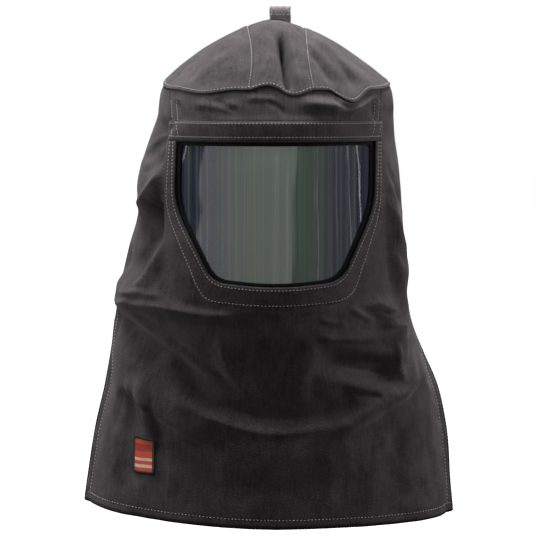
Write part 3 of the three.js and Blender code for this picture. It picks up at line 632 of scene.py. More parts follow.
# A rounded line through corners of (across, down, rounding), with even counts on each stretch
def roundedLine(corners, closed=True, straight=10, bend=6):
    count = len(corners)
    points = []

    def at(i):
        return np.array(corners[i % count][:2], float)

    for i in range(count):
        corner, before, after, radius = at(i), at(i - 1), at(i + 1), corners[i][2]
        start = corner + (before - corner) * min(0.5, radius / np.linalg.norm(before - corner))
        end = corner + (after - corner) * min(0.5, radius / np.linalg.norm(after - corner))
        endOfLine = not closed and i in (0, count - 1)
        if endOfLine:
            start = end = corner
        if points:
            last = points[-1]
            points += [last + (start - last) * t for t in np.linspace(0, 1, straight + 1)[1:]]
        else:
            points.append(start)
        if endOfLine:
            continue
        for t in np.linspace(0, 1, bend + 1)[1:]:
            points.append((1 - t) ** 2 * start + 2 * t * (1 - t) * corner + t ** 2 * end)
    if closed:
        last = points[-1]
        points += [last + (points[0] - last) * t for t in np.linspace(0, 1, straight + 1)[1:-1]]
    return np.array(points)


def growCorners(corners, margin):
    flat = np.array([c[:2] for c in corners], float)
    area = sum(a[0] * b[1] - b[0] * a[1] for a, b in zip(flat, np.roll(flat, -1, axis=0)))
    found = []
    for i in range(len(flat)):
        sides = []
        for a, b in ((flat[i - 1], flat[i]), (flat[i], flat[(i + 1) % len(flat)])):
            side = np.array([b[1] - a[1], a[0] - b[0]])
            sides.append(side / np.linalg.norm(side) * np.sign(area))
        mitre = margin / (1 + sides[0] @ sides[1])
        found.append((*(flat[i] + mitre * (sides[0] + sides[1])), corners[i][2]))
    return found


windowOutline = [
    (hood["windowShift"] + a * hood["windowWidth"] / 2,
     windowDrop + d * hood["windowHeight"],
     r * hood["windowHeight"])
    for a, d, r, _, _ in windowCorners
]
bandOutline = [
    (x + c[3] * hood["lowerBandHeight"], d + c[4] * hood["lowerBandHeight"] + hood["seamGap"], r)
    for (x, d, r), c in zip(windowOutline, windowCorners)
]
bandLeft, bandRight = bandOutline[0][0], bandOutline[-1][0]
browCorners = [
    (bandLeft + hood["bandTuck"], windowDrop),
    (bandRight - hood["bandTuck"], windowDrop),
    (bandRight - hood["bandTuck"] + hood["browFlare"], 0.0),
    (bandLeft + hood["bandTuck"] - hood["browFlare"], 0.0),
]


# Even points along a line, about one step apart
def linePoints(points, step):
    points = np.asarray(points, float)
    gaps = np.linalg.norm(np.diff(points, axis=0), axis=1)
    far = np.concatenate([[0], np.cumsum(gaps)])
    at = np.linspace(0, far[-1], max(int(round(far[-1] / step)), 1) + 1)
    return np.stack([np.interp(at, far, points[:, k]) for k in range(points.shape[1])], -1)


# Materials

wavePeriod = 0.314  # metres after which a Wave texture of scale 1 repeats

cloth = {
    "dark": "#332f31", "light": "#514c4e", "worn": "#68625f", "sheen": "#cfc8cc",
    "fadedDark": "#7d777a", "fadedLight": "#a09a9d",
    "rib": 0.0018, "ribTurn": 63, "streak": 0.003, "mottle": 0.04, "nap": 0.0016,
}


# Flame-resistant cotton twill, woven and piece dyed: matte charcoal with a faint nap. The real
# ribs are about 0.5 mm apart and the nap is finer, and they are drawn at 1.8 mm and 1.6 mm so
# that they show.
def charcoalTwill(name, dark, light):
    material, tree, shader = newMaterial(name, {
        "Specular IOR Level": 0.0, "Sheen Weight": 0.3, "Sheen Roughness": 0.5,
        "Sheen Tint": linear(cloth["sheen"]),
    })
    place = addNode(tree, "ShaderNodeUVMap")
    mottle = addNode(tree, "ShaderNodeTexNoise", {
        "Vector": (place, "UV"), "Scale": 1 / cloth["mottle"], "Detail": 6.0, "Roughness": 0.72,
    })
    upright = addNode(tree, "ShaderNodeMapping", {
        "Vector": (place, "UV"), "Scale": (1 / cloth["streak"], 40, 1),
    })
    streak = addNode(tree, "ShaderNodeTexNoise", {"Vector": (upright, 0), "Scale": 1.0, "Detail": 2.0})
    nap = addNode(tree, "ShaderNodeTexNoise", {
        "Vector": (place, "UV"), "Scale": 1 / cloth["nap"], "Detail": 2.0,
    })
    tilt = addNode(tree, "ShaderNodeMapping", {
        "Vector": (place, "UV"), "Rotation": (0, 0, math.radians(cloth["ribTurn"])),
    })
    rib = addNode(tree, "ShaderNodeTexWave", {
        "Vector": (tilt, 0), "Scale": wavePeriod / cloth["rib"], "Distortion": 1.2, "Detail": 1.0,
    }, bands_direction="X")
    cloudy = addNode(tree, "ShaderNodeMapRange", {
        "Value": (mottle, "Fac"), "From Min": 0.33, "From Max": 0.67,
    })
    tone = addNode(tree, "ShaderNodeMix", {
        "Factor": (cloudy, 0), 6: linear(dark), 7: linear(light),
    }, data_type="RGBA")
    slub = addNode(tree, "ShaderNodeMapRange", {
        "Value": (streak, "Fac"), "From Min": 0.35, "From Max": 0.75, "To Max": 0.25,
    })
    streaky = addNode(tree, "ShaderNodeMix", {
        "Factor": (slub, 0), 6: (tone, 2), 7: linear(cloth["worn"]),
    }, data_type="RGBA")
    grain = addNode(tree, "ShaderNodeMapRange", {
        "Value": (nap, "Fac"), "From Min": 0.3, "From Max": 0.7, "To Min": 0.7, "To Max": 1.3,
    })
    addNode(tree, "ShaderNodeVectorMath", {0: (streaky, 2), "Scale": (grain, 0)},
            feeds=(shader, "Base Color"), operation="SCALE")
    addNode(tree, "ShaderNodeMapRange", {"Value": (mottle, "Fac"), "To Min": 0.82, "To Max": 0.98},
            feeds=(shader, "Roughness"))
    weave = addNode(tree, "ShaderNodeMath", {0: (rib, "Fac"), 1: (nap, "Fac")}, operation="ADD")
    addNode(tree, "ShaderNodeBump", {"Height": (weave, 0), "Distance": 0.0003, "Strength": 0.6},
            feeds=(shader, "Normal"))
    return material


tape = {"dark": "#0d0d10", "light": "#1c1c20", "rib": 0.0022}


# Polyester tape, woven: near black, its ribs run across it. They are drawn 2.2 mm apart, coarser
# than the real ones of about 1 mm, so that they show.
def blackTape():
    material, tree, shader = newMaterial("polyester tape, woven, black", {
        "Roughness": 0.9, "Specular IOR Level": 0.05, "Sheen Weight": 0.1,
    })
    place = addNode(tree, "ShaderNodeUVMap")
    rib = addNode(tree, "ShaderNodeTexWave", {
        "Vector": (place, "UV"), "Scale": wavePeriod / tape["rib"], "Distortion": 0.6,
    }, bands_direction="X")
    tone = addNode(tree, "ShaderNodeMix", {
        "Factor": (rib, "Fac"), 6: linear(tape["dark"]), 7: linear(tape["light"]),
    }, data_type="RGBA")
    tree.links.new(tone.outputs[2], shader.inputs["Base Color"])
    addNode(tree, "ShaderNodeBump", {"Height": (rib, "Fac"), "Distance": 0.0003, "Strength": 0.8},
            feeds=(shader, "Normal"))
    return material


thread = {"light": "#d8d5d0", "dark": "#98948f", "ply": 0.0009}


# Aramid sewing thread, spun and left undyed: dull pale grey with a twist. The twist is drawn at
# 0.9 mm, to go with stitches that are thicker than real ones.
def paleThread():
    material, tree, shader = newMaterial("aramid sewing thread, spun, pale grey", {"Roughness": 0.7})
    place = addNode(tree, "ShaderNodeTexCoord")
    twist = addNode(tree, "ShaderNodeTexNoise", {
        "Vector": (place, "Object"), "Scale": 1 / thread["ply"], "Detail": 1.0,
    })
    tone = addNode(tree, "ShaderNodeMix", {
        "Factor": (twist, "Fac"), 6: linear(thread["dark"]), 7: linear(thread["light"]),
    }, data_type="RGBA")
    tree.links.new(tone.outputs[2], shader.inputs["Base Color"])
    addNode(tree, "ShaderNodeBump", {"Height": (twist, "Fac"), "Distance": 0.0002, "Strength": 0.5},
            feeds=(shader, "Normal"))
    return material


# The flank and edge colours are painted reflection and shade at the sheet's sides, and the lighter streak
# colour is a painted reflection.
shield = {
    "middle": "#6d8372", "flank": "#3f3f56", "edge": "#14183a", "drawn": "#8ea088",
    "ripple": 0.011, "rippleRise": 0.0006, "line": 0.0045, "halfWidth": 0.12,
    "thickness": 0.002, "columns": 110, "rows": 70, "inset": 0.0002,
}


# Polycarbonate, extruded and tinted green: clear gloss, and a faint upright ripple that breaks up
# what it mirrors. The navy at its sides is painted reflection and shade: it stands in for the
# coating's blue reflection and the deeper tint where the sheet turns away. Lighter upright streaks
# in the colour, 4.5 mm apart, are painted reflections of streaks of light. The lines are drawn 4.5
# mm apart.
def tintedShield():
    material, tree, shader = newMaterial("polycarbonate, extruded, green tint", {
        "Roughness": 0.06, "IOR": 1.586, "Alpha": 0.8, "Coat Weight": 0.5, "Coat Roughness": 0.03,
    })
    material.surface_render_method = "DITHERED"
    place = addNode(tree, "ShaderNodeUVMap")
    parts = addNode(tree, "ShaderNodeSeparateXYZ", {0: (place, "UV")})
    centred = addNode(tree, "ShaderNodeMath", {
        0: (parts, "X"), 1: hood["windowShift"],
    }, operation="SUBTRACT")
    side = addNode(tree, "ShaderNodeMath", {0: (centred, 0)}, operation="ABSOLUTE")
    share = addNode(tree, "ShaderNodeMath", {0: (side, 0), 1: shield["halfWidth"]}, operation="DIVIDE")
    # Painted reflection and shade: the colour runs from the green middle to navy at the sides, for the
    # coating's blue reflection and the deeper tint where the sheet turns away.
    tone = addNode(tree, "ShaderNodeValToRGB", {"Fac": (share, 0)})
    stops = tone.color_ramp.elements
    stops[0].position, stops[0].color = 0.2, linear(shield["middle"])
    stops[1].position, stops[1].color = 0.95, linear(shield["edge"])
    flank = stops.new(0.6)
    flank.color = linear(shield["flank"])
    # Painted reflection: lighter upright streaks in the colour stand in for streaks of mirrored light.
    lines = addNode(tree, "ShaderNodeMapping", {
        "Vector": (place, "UV"), "Scale": (1 / shield["line"], 0.5, 1),
    })
    drawn = addNode(tree, "ShaderNodeTexNoise", {
        "Vector": (lines, 0), "Scale": 1.0, "Detail": 4.0, "Roughness": 0.7,
    })
    clear = addNode(tree, "ShaderNodeMapRange", {
        "Value": (drawn, "Fac"), "From Min": 0.45, "From Max": 0.75, "To Max": 0.6,
    })
    tintedAndPainted = addNode(tree, "ShaderNodeMix", {
        "Factor": (clear, 0), 6: (tone, 0), 7: linear(shield["drawn"]),
    }, data_type="RGBA")
    tree.links.new(tintedAndPainted.outputs[2], shader.inputs["Base Color"])
    upright = addNode(tree, "ShaderNodeMapping", {
        "Vector": (place, "UV"), "Scale": (1 / shield["ripple"], 0.8, 1),
    })
    ripple = addNode(tree, "ShaderNodeTexNoise", {
        "Vector": (upright, 0), "Scale": 1.0, "Detail": 3.0, "Roughness": 0.6,
    })
    addNode(tree, "ShaderNodeBump", {
        "Height": (ripple, "Fac"), "Distance": shield["rippleRise"], "Strength": 0.35,
    }, feeds=(shader, "Normal"))
    return material


patch = {
    "field": "#d8502c", "band": "#a8342a", "bar": "#e6c9b8", "border": "#141214", "borderLight": "#2a272b",
    "width": 0.027, "height": 0.042, "round": 0.005, "inset": 0.064, "aboveHem": 0.057,
    "gap": 0.0003, "raised": 0.0011, "weave": 0.0009, "rib": 0.0016, "ribRise": 0.00012,
    "rim": 0.003, "rimHeight": 0.0016, "rimThick": 0.0012, "rimGirth": 0.006,
    "wrap": 0.00014, "wrapPitch": 0.001,
}
patchMiddle = (
    -sections[-1, 1] * hoodWidth + patch["inset"] + patch["width"] / 2,
    hoodHeight - patch["aboveHem"] - patch["height"] / 2,
)

# How far up the patch each stripe starts, and its colour
patchStripes = [
    (0, "field"), (0.16, "bar"), (0.24, "field"), (0.34, "bar"), (0.42, "field"),
    (0.6, "band"), (0.8, "field"),
]


# Rayon embroidery, satin stitched: orange with a slight gloss along its threads, which are drawn
# 1.6 mm apart and not 0.4 mm, so that they show
def patchWeave():
    material, tree, shader = newMaterial("rayon embroidery, satin stitched", {"Roughness": 0.5})
    place = addNode(tree, "ShaderNodeUVMap")
    parts = addNode(tree, "ShaderNodeSeparateXYZ", {0: (place, "UV")})
    tone = addNode(tree, "ShaderNodeValToRGB", {"Fac": (parts, "Y")})
    ramp = tone.color_ramp
    ramp.interpolation = "CONSTANT"
    ramp.elements[0].color = linear(patch["field"])
    ramp.elements.remove(ramp.elements[1])
    for position, name in patchStripes[1:]:
        ramp.elements.new(position).color = linear(patch[name])
    lines = addNode(tree, "ShaderNodeTexCoord")
    rib = addNode(tree, "ShaderNodeTexWave", {
        "Vector": (lines, "Object"), "Scale": wavePeriod / patch["rib"], "Distortion": 0.8,
    }, bands_direction="X")
    shade = addNode(tree, "ShaderNodeMapRange", {"Value": (rib, "Fac"), "To Min": 0.75, "To Max": 1.1})
    addNode(tree, "ShaderNodeVectorMath", {0: (tone, 0), "Scale": (shade, 0)},
            feeds=(shader, "Base Color"), operation="SCALE")
    addNode(tree, "ShaderNodeBump", {"Height": (rib, "Fac"), "Distance": 0.0003, "Strength": 0.8},
            feeds=(shader, "Normal"))
    return material


# Polyester overlock thread, satin black, laid side by side round the edge and drawn as coarse
def patchThread():
    material, tree, shader = newMaterial("polyester overlock thread, black", {"Roughness": 0.55})
    place = addNode(tree, "ShaderNodeUVMap")
    rib = addNode(tree, "ShaderNodeTexWave", {
        "Vector": (place, "UV"), "Scale": wavePeriod / patch["rib"],
    }, bands_direction="X")
    tone = addNode(tree, "ShaderNodeMix", {
        "Factor": (rib, "Fac"), 6: linear(patch["border"]), 7: linear(patch["borderLight"]),
    }, data_type="RGBA")
    tree.links.new(tone.outputs[2], shader.inputs["Base Color"])
    addNode(tree, "ShaderNodeBump", {"Height": (rib, "Fac"), "Distance": 0.0003, "Strength": 0.7},
            feeds=(shader, "Normal"))
    return material


twill = charcoalTwill("cotton twill, woven, charcoal", cloth["dark"], cloth["light"])
fadedTwill = charcoalTwill("cotton twill tape, woven, faded", cloth["fadedDark"], cloth["fadedLight"])
binding = blackTape()
sewing = paleThread()
print("materials ready")


# Panels of the body

panels = {
    "frontColumns": 236, "frontRows": 200, "backColumns": 120, "backRows": 130,
    "browColumns": 120, "browRows": 36, "windowMargin": 0.003, "flatRadius": 0.19,
    "hemRadius": 0.2, "bibRadius": 0.15, "sideRow": 0.009,
    "dip": 0.0005, "dipWidth": 0.0016, "pucker": 0.0004, "puckerPitch": 0.008, "puckerReach": 0.012,
    "browStitch": 0.007, "browEdge": 0.0006,
}


# Stitches draw the cloth in beside an edge: a dip along the line, and small puckers across it
def stitchDip(gap, along):
    dip = -panels["dip"] * np.exp(-(gap / panels["dipWidth"]) ** 2)
    wave = roughness(along, gap * 0.5, panels["puckerPitch"], 71)
    return dip + panels["pucker"] * wave * np.exp(-(gap / panels["puckerReach"]) ** 2)


def panelDrop(side, around, share):
    seam = seamDrop(side, around)
    return seam - hood["tuck"] + share * (hemDrop(around) - seam + hood["tuck"])


# The stitches that hold the binding, along the hem and from the slit down along the sides
def panelRelief(around, down):
    hemGap = hemDrop(around) - down - stitch["fromHem"]
    sideGap = (1 - np.abs(around)) * math.pi / 2 * panels["bibRadius"] - panels["sideRow"]
    besideSlit = ease((down - slitDrop) / 0.03)
    girth = around * math.pi / 2 * panels["hemRadius"]
    return stitchDip(np.abs(hemGap), girth) + stitchDip(np.abs(sideGap), down) * besideSlit


def toFrontNet(across, down):
    around = frontAround(across, down)
    top, bottom = panelDrop("front", around, 0), panelDrop("front", around, 1)
    return np.stack([(around + 1) / 2, (down - top) / (bottom - top)], -1)


# The front loses its window, and above it the brow, which is a piece of its own
def cutFrontNet(bm):
    hole = roundedLine(growCorners(windowOutline, panels["windowMargin"]))
    cutAlong(bm, toFrontNet(hole[:, 0], hole[:, 1]))
    corners = [c[:2] for c in growCorners([(x, d, 0) for x, d in browCorners], hood["seamGap"])]
    sides = [linePoints(corners[:2], 0.003), linePoints(corners[1:3], 0.003)]
    brow = np.vstack([linePoints([corners[3], corners[0]], 0.003), *sides])
    # the outline runs on past the net's top edge
    brow = toFrontNet(brow[:, 0], np.maximum(brow[:, 1], 0.06))
    brow = brow[brow[:, 1] > -0.03]
    cutAlong(bm, np.vstack([[brow[0, 0], -0.1], brow, [brow[-1, 0], -0.1]]))
    bm.verts.index_update()


def sidePanel(side, name):
    bm = cellNet(panels[side + "Columns"], panels[side + "Rows"])
    if side == "front":
        cutFrontNet(bm)
    u, v = netCoordinates(bm)
    around = 2 * u - 1
    down = panelDrop(side, around, v)
    lift = panelRelief(around, down) * ease((1 - np.abs(around)) / 0.01)
    places = clothOffset(side, around, down, lift)
    flat = np.stack([around * math.pi / 2 * panels["flatRadius"], -down], -1)
    drape(bm, places, flat, outwardOf(side, around, down))
    piece = addPiece(name, bm, twill)
    thicken(piece, hood["wall"])
    return piece


def browPiece():
    bm = cellNet(panels["browColumns"], panels["browRows"])
    u, v = netCoordinates(bm)
    (x0, d0), (x1, d1), (x2, _), (x3, _) = browCorners
    # the side seams lean out towards the crown
    across = x0 + u * (x1 - x0)
    for _ in range(3):
        around = frontAround(across, np.full(u.shape, windowDrop))
        top = panelDrop("front", around, 0)
        down = top + v * (windowDrop - top)
        high = 1 - down / windowDrop
        left, right = x0 + (x3 - x0) * high, x1 + (x2 - x1) * high
        across = left + u * (right - left)
    around = frontAround(across, down)
    edge = np.minimum(u, 1 - u) * (x1 - x0)
    lift = stitchDip(np.abs(edge - panels["browStitch"]), down)
    lift = lift + panels["browEdge"] * ease(edge / 0.001) - panels["browEdge"]
    places = clothOffset("front", around, down, lift)
    drape(bm, places, np.stack([across, -down], -1), outwardOf("front", around, down))
    piece = addPiece("brow_cloth", bm, twill)
    thicken(piece, hood["wall"])
    return piece


# Crown

crown = {
    "columns": 250, "rings": 46, "frontShare": 0.6, "lapShare": 0.05, "thickness": 0.0013,
    "seamDip": 0.0011, "ridge": 0.0006, "ridgeWidth": 0.009, "pucker": 0.0009, "puckerPitch": 0.012,
    "leftBow": 0.006, "rightBow": -0.0025, "bowReach": 0.028, "foldUp": 0.8, "foldBack": 0.6,
}


# The crown's edge, where it laps over the panels below it
def crownFoot(side, around):
    height = np.full(around.shape, hood["seamGap"] + crown["thickness"])
    return clothOffset(side, around, seamDrop(side, around), height)


# A place on the crown: ring goes from 0 at its top to 1 at its rim
def crownPlace(side, around, ring):
    rimDrop = seamDrop(side, around) - hood["crownLap"]
    rim = crownFoot(side, around)
    down = (rimDrop + hood["wall"]) * ring ** hood["crownRound"] - hood["wall"]
    across = rim[:, 0] * ring
    free = ease((1 - np.abs(around)) / 0.3) if side == "front" else np.zeros(around.shape)
    fade = ease((1 - ring) / 0.15) * ease(ring / 0.2)
    soft = rumpleHeight(across, rim[:, 1] * ring + 0.4, 51) * fade
    girth = around * 0.24 + (0 if side == "front" else 0.7)
    puckers = crown["pucker"] * roughness(girth, ring * 0.05, crown["puckerPitch"], 61)
    puckers = puckers * ease((ring - 0.55) / 0.4) * ease((1 - ring) / 0.04)
    soft = soft + puckers * ease((1 - np.abs(around)) / 0.06)
    lift = relief["crown"](across, down) * free * fade
    seams = crownSeamRelief(across, -down) * fade
    away = rim[:, 1] * ring - crown["foldBack"] * lift
    return np.stack([across, away, -down + crown["foldUp"] * lift + soft + seams], -1)


def leftSeam(z):
    return -hood["stripLeft"] - hood["stripSlant"] * (0.5 + z / hood["crownDrop"])


def rightSeam(z):
    return hood["stripRight"] - 2 * hood["stripSlant"] * (0.5 + z / hood["crownDrop"])


# The strip's seams are cut straight and then bend with the cloth
def bowSeams(places):
    across, z = places[:, 0].copy(), places[:, 2]
    high = np.sin(np.clip(-z / hood["crownDrop"], 0, 1) * math.pi)
    for seam, bow in ((leftSeam(z), crown["leftBow"]), (rightSeam(z), crown["rightBow"])):
        places[:, 0] += bow * high * np.exp(-((across - seam) / crown["bowReach"]) ** 2)
    return places


# The strip's seams: cloth falls into each seam, and the turning under its outer side stands up
def crownSeamRelief(across, z):
    height = np.zeros(across.shape)
    for seam, outer in ((leftSeam(z), -1), (rightSeam(z), 1)):
        gap = (across - seam) * outer
        height -= crown["seamDip"] * np.exp(-(gap / 0.0016) ** 2)
        height += crown["ridge"] * ease(gap / 0.002) * (1 - ease((gap - crown["ridgeWidth"]) / 0.003))
    return height


def crownNet():
    bm = cellNet(crown["columns"], crown["rings"])
    u, v = netCoordinates(bm)
    frontShare, lapShare = crown["frontShare"], crown["lapShare"]
    front = u <= frontShare
    around = np.where(front, 2 * u / frontShare - 1, 1 - 2 * (u - frontShare) / (1 - frontShare))
    ring = np.clip(v / (1 - lapShare), 0, 1)
    lap = np.clip((v - 1 + lapShare) / lapShare, 0, 1)
    places = np.zeros((len(u), 3))
    for side, mask in (("front", front), ("back", ~front)):
        dome = crownPlace(side, around[mask], ring[mask])
        share = lap[mask][:, None]
        places[mask] = dome * (1 - share) + crownFoot(side, around[mask]) * share
    # flattened from above, with what the cloth falls added towards the front and back
    turn = places[:, 1] / np.maximum(np.hypot(places[:, 0], places[:, 1]), 0.001)
    flat = np.stack([places[:, 0], places[:, 1] - places[:, 2] * turn], -1)
    inside = np.array([0, 0, -0.2])
    drape(bm, places, flat, places - inside)
    bmesh.ops.remove_doubles(bm, verts=bm.verts, dist=weld)
    bmesh.ops.recalc_face_normals(bm, faces=bm.faces)
    bm.normal_update()
    if sum(f.normal.z for f in bm.faces) < 0:
        bmesh.ops.reverse_faces(bm, faces=bm.faces)
    return bm


# One piece of the crown, cut off beyond each of the given seams on the given side
def crownPiece(name, net, seams):
    bm = net.copy()
    for seam, side in seams:
        low, high = seam(-0.1), seam(0.0)
        normal = Vector((0.1, 0, -(high - low))) * side
        everything = bm.verts[:] + bm.edges[:] + bm.faces[:]
        bmesh.ops.bisect_plane(bm, geom=everything, dist=1e-6, plane_co=(high, 0, 0),
                               plane_no=normal, clear_outer=True)
    for vert, place in zip(bm.verts, bowSeams(np.array([v.co[:] for v in bm.verts])).tolist()):
        vert.co = place
    piece = addPiece(name, bm, twill)
    thicken(piece, crown["thickness"])
    return piece


# Bands and facing round the window

bands = {
    "thickness": 0.0015, "turn": 0.0014, "dip": 0.0005, "dipWidth": 0.0013,
    "lowRow": 0.0055, "highRow": 0.0025, "innerRow": 0.004, "outerRow": 0.0195,
    "facingShow": 0.004, "facingHold": 0.009, "facing": 0.0012, "shieldHold": 0.006,
}
topRows = (bands["lowRow"], hood["topBandHeight"] - bands["highRow"])


# Height across a band: rounded at its folded edges, and drawn in along its two rows of stitches
def bandProfile(share, width, lines):
    gap = np.clip(np.minimum(share, 1 - share) * width / bands["turn"], 0, 1)
    height = bands["thickness"] * np.sqrt(gap * (2 - gap))
    for line in lines:
        height = height - bands["dip"] * np.exp(-((share * width - line) / bands["dipWidth"]) ** 2)
    return height


# A band between two lines of as many points, above the front by base, with its rows of stitches
def bandAlong(name, inner, outer, rows, material, lines=(), base=hood["seamGap"], closed=False):
    count = len(inner)
    columns = count if closed else count - 1
    bm = cellNet(columns, rows)
    u, v = netCoordinates(bm)
    index = np.rint(u * columns).astype(int) % count
    edgeIn, edgeOut = inner[index], outer[index]
    plan = edgeIn * (1 - v[:, None]) + edgeOut * v[:, None]
    width = np.linalg.norm(edgeOut - edgeIn, axis=1)
    far = np.concatenate([[0], np.cumsum(np.linalg.norm(np.diff(inner, axis=0), axis=1))])[index]
    lift = bandProfile(v, width, lines) if lines else np.zeros(len(u))
    around = frontAround(plan[:, 0], plan[:, 1])
    places = clothOffset("front", around, plan[:, 1], base + lift)
    drape(bm, places, np.stack([far, v * width], -1), outwardOf("front", around, plan[:, 1]))
    if closed:
        bmesh.ops.remove_doubles(bm, verts=bm.verts, dist=weld)
    return addPiece(name, bm, material)


# Inner and outer line of the lower band
def lowerBandLines():
    return [roundedLine(line, closed=False, straight=16, bend=8) for line in (windowOutline, bandOutline)]


def windowBands():
    xs = np.linspace(bandLeft, bandRight, 120)
    bottom = np.stack([xs, np.full(xs.shape, windowDrop)], -1)
    upper = np.stack([xs, np.full(xs.shape, windowDrop - hood["topBandHeight"])], -1)
    top = bandAlong("window_band_top_cloth", bottom, upper, 12, twill, lines=topRows)
    inner, outer = lowerBandLines()
    rows = (bands["innerRow"], bands["outerRow"])
    lower = bandAlong("window_band_lower_cloth", inner, outer, 10, twill, lines=rows)
    for piece, node in ((top, "window_band_top"), (lower, "window_band_lower")):
        thicken(piece, bands["thickness"] * 0.8)
        dress(piece, [node])
    return top, lower


def facingPiece():
    inner = roundedLine(growCorners(windowOutline, -bands["facingShow"]), straight=14)
    outer = roundedLine(growCorners(windowOutline, bands["facingHold"]), straight=14)
    base = -hood["wall"] - hood["seamGap"]
    piece = bandAlong("shield_facing_tape", inner, outer, 4, binding, base=base, closed=True)
    thicken(piece, bands["facing"])
    dress(piece, ["shield_facing"])


# The sheet is bent along one way, and is as wide on each row as the outline lets it be
def shieldPiece():
    outline = roundedLine(growCorners(windowOutline, bands["shieldHold"]))
    bm = cellNet(shield["columns"], shield["rows"])
    u, v = netCoordinates(bm)
    top, bottom, inset = outline[:, 1].min(), outline[:, 1].max(), shield["inset"]
    down = top + inset + v * (bottom - top - 2 * inset)
    levels = np.linspace(top + inset, bottom - inset, 300)
    a, b = outline, np.roll(outline, -1, axis=0)
    ends = []
    for level in levels:
        hit = (a[:, 1] > level) != (b[:, 1] > level)
        at = a[hit, 0] + (level - a[hit, 1]) / (b[hit, 1] - a[hit, 1]) * (b[hit, 0] - a[hit, 0])
        ends.append((at.min(), at.max()))
    ends = np.array(ends)
    left, right = np.interp(down, levels, ends[:, 0]), np.interp(down, levels, ends[:, 1])
    across = left + u * (right - left)
    base = -hood["wall"] - 2 * hood["seamGap"] - bands["facing"]
    around = frontAround(across, down)
    places = clothOffset("front", around, down, np.full(u.shape, base))
    drape(bm, places, np.stack([across, -down], -1), outwardOf("front", around, down))
    piece = addPiece("face_shield_sheet", bm, tintedShield())
    thicken(piece, shield["thickness"])
    dress(piece, ["face_shield"])


# Edge binding: tape folded round the edge, overlocked

edging = {
    "width": 0.0038, "over": 0.0009, "proud": 0.0004, "sides": 10, "step": 0.0022, "girth": 0.008,
    "wrap": 0.00018, "wrapPitch": 0.0022, "aboveSlit": 0.0015,
}


# Round the bib: down its left side, along the hem, and up its right side
def edgeLine():
    start = slitDrop - edging["aboveSlit"]
    rows, hem = np.linspace(0, 1, 240), np.linspace(-1, 1, 260)[1:-1]
    left, right = [start + rows * (hemDrop(way) - start) for way in (-1, 1)]
    around = np.concatenate([np.full(rows.shape, -1.0), hem, np.full(rows.shape, 1.0)])
    return around, np.concatenate([left, hemDrop(hem), right[::-1]])


def edgePiece(side, name, node):
    around, down = edgeLine()
    behind = np.full(around.shape, -hood["wall"] / 2)
    centre = clothOffset(side, around, down, behind)
    outward = outwardOf(side, around, down)
    # the way out of the cloth at its edge, from a place a little further in
    away = centre - clothOffset(side, around * 0.985, np.minimum(down, hemDrop(around) - 0.003), behind)
    away -= outward * (away * outward).sum(1, keepdims=True)
    away /= np.linalg.norm(away, axis=1, keepdims=True)
    smooth = away.copy()
    for _ in range(4):
        smooth[1:-1] = (smooth[:-2] + 2 * smooth[1:-1] + smooth[2:]) / 4
    away = smooth / np.linalg.norm(smooth, axis=1, keepdims=True)
    far = np.concatenate([[0], np.cumsum(np.linalg.norm(np.diff(centre, axis=0), axis=1))])
    count = int(far[-1] / edging["step"])
    at = np.linspace(0, far[-1], count + 1)
    centre, away, outward = [
        np.stack([np.interp(at, far, values[:, k]) for k in range(3)], -1)
        for values in (centre, away, outward)
    ]
    bm = cellNet(count, edging["sides"])
    u, v = netCoordinates(bm)
    i = np.rint(u * count).astype(int)
    turn = v * 2 * math.pi
    wrap = edging["wrap"] * np.sin(at[i] / edging["wrapPitch"] * math.pi + turn)
    halfWide = edging["width"] / 2 + wrap
    halfThick = hood["wall"] / 2 + edging["proud"] + wrap
    middle = centre[i] + away[i] * (edging["width"] / 2 - edging["over"])
    ring = away[i] * (halfWide * np.cos(turn))[:, None] + outward[i] * (halfThick * np.sin(turn))[:, None]
    drape(bm, middle + ring, np.stack([at[i], v * edging["girth"]], -1), ring)
    bmesh.ops.remove_doubles(bm, verts=bm.verts, dist=weld)
    ends = [e for e in bm.edges if e.is_boundary]
    bmesh.ops.holes_fill(bm, edges=ends, sides=0)
    bmesh.ops.recalc_face_normals(bm, faces=bm.faces)
    piece = addPiece(name, bm, binding)
    dress(piece, [node])


# Hanger loop

loop = {
    "width": 0.026, "height": 0.016, "depth": 0.015, "shift": 0.010, "strap": 0.0024, "foot": 0.0015,
    "step": 0.0009, "columns": 26, "settle": 0.014, "edge": 0.0007, "dip": 0.0004, "dipAt": 0.003,
}


def loopPath():
    half, high = loop["depth"] / 2, loop["height"] + hood["wall"] - loop["foot"]
    turns = np.linspace(0, math.pi, 33)
    return [(-half * math.cos(t), loop["foot"] + high * math.sin(t) ** 0.85) for t in turns]


def loopPiece():
    path = linePoints(loopPath(), loop["step"])
    rows = len(path) - 1
    bm = cellNet(loop["columns"], rows)
    u, v = netCoordinates(bm)
    i = np.rint(v * rows).astype(int)
    tangent = np.gradient(path, axis=0)
    tangent /= np.linalg.norm(tangent, axis=1, keepdims=True)
    normal = np.stack([-tangent[:, 1], tangent[:, 0]], -1)
    gap = np.minimum(u, 1 - u) * loop["width"]
    lift = -loop["edge"] * (1 - np.sqrt(np.clip(gap / 0.0012, 0, 1)))
    lift = lift - loop["dip"] * np.exp(-((gap - loop["dipAt"]) / 0.0009) ** 2)
    lift = lift + 0.00025 * np.sin(u * 21) * np.sin(v * 17)
    plan = path[i] + normal[i] * lift[:, None]
    x = loop["shift"] + (u - 0.5) * loop["width"] + 0.0003 * np.sin(v * 14)
    # its feet follow the slope of the crown
    widest = clothPoint("front", 1, seamDrop("front", 1))[0]
    slope = hood["crownDrop"] * (np.abs(x) / widest) ** hood["crownRound"]
    height = plan[:, 1] - slope * (1 - ease(plan[:, 1] / loop["settle"]))
    outward = np.stack([np.zeros(len(u)), normal[i][:, 0], normal[i][:, 1]], -1)
    drape(bm, np.stack([x, plan[:, 0], height], -1), np.stack([x, i * loop["step"]], -1), outward)
    piece = addPiece("hanger_loop_strap", bm, fadedTwill)
    thicken(piece, loop["strap"])
    dress(piece, ["hanger_loop"])
    return piece


# Patch

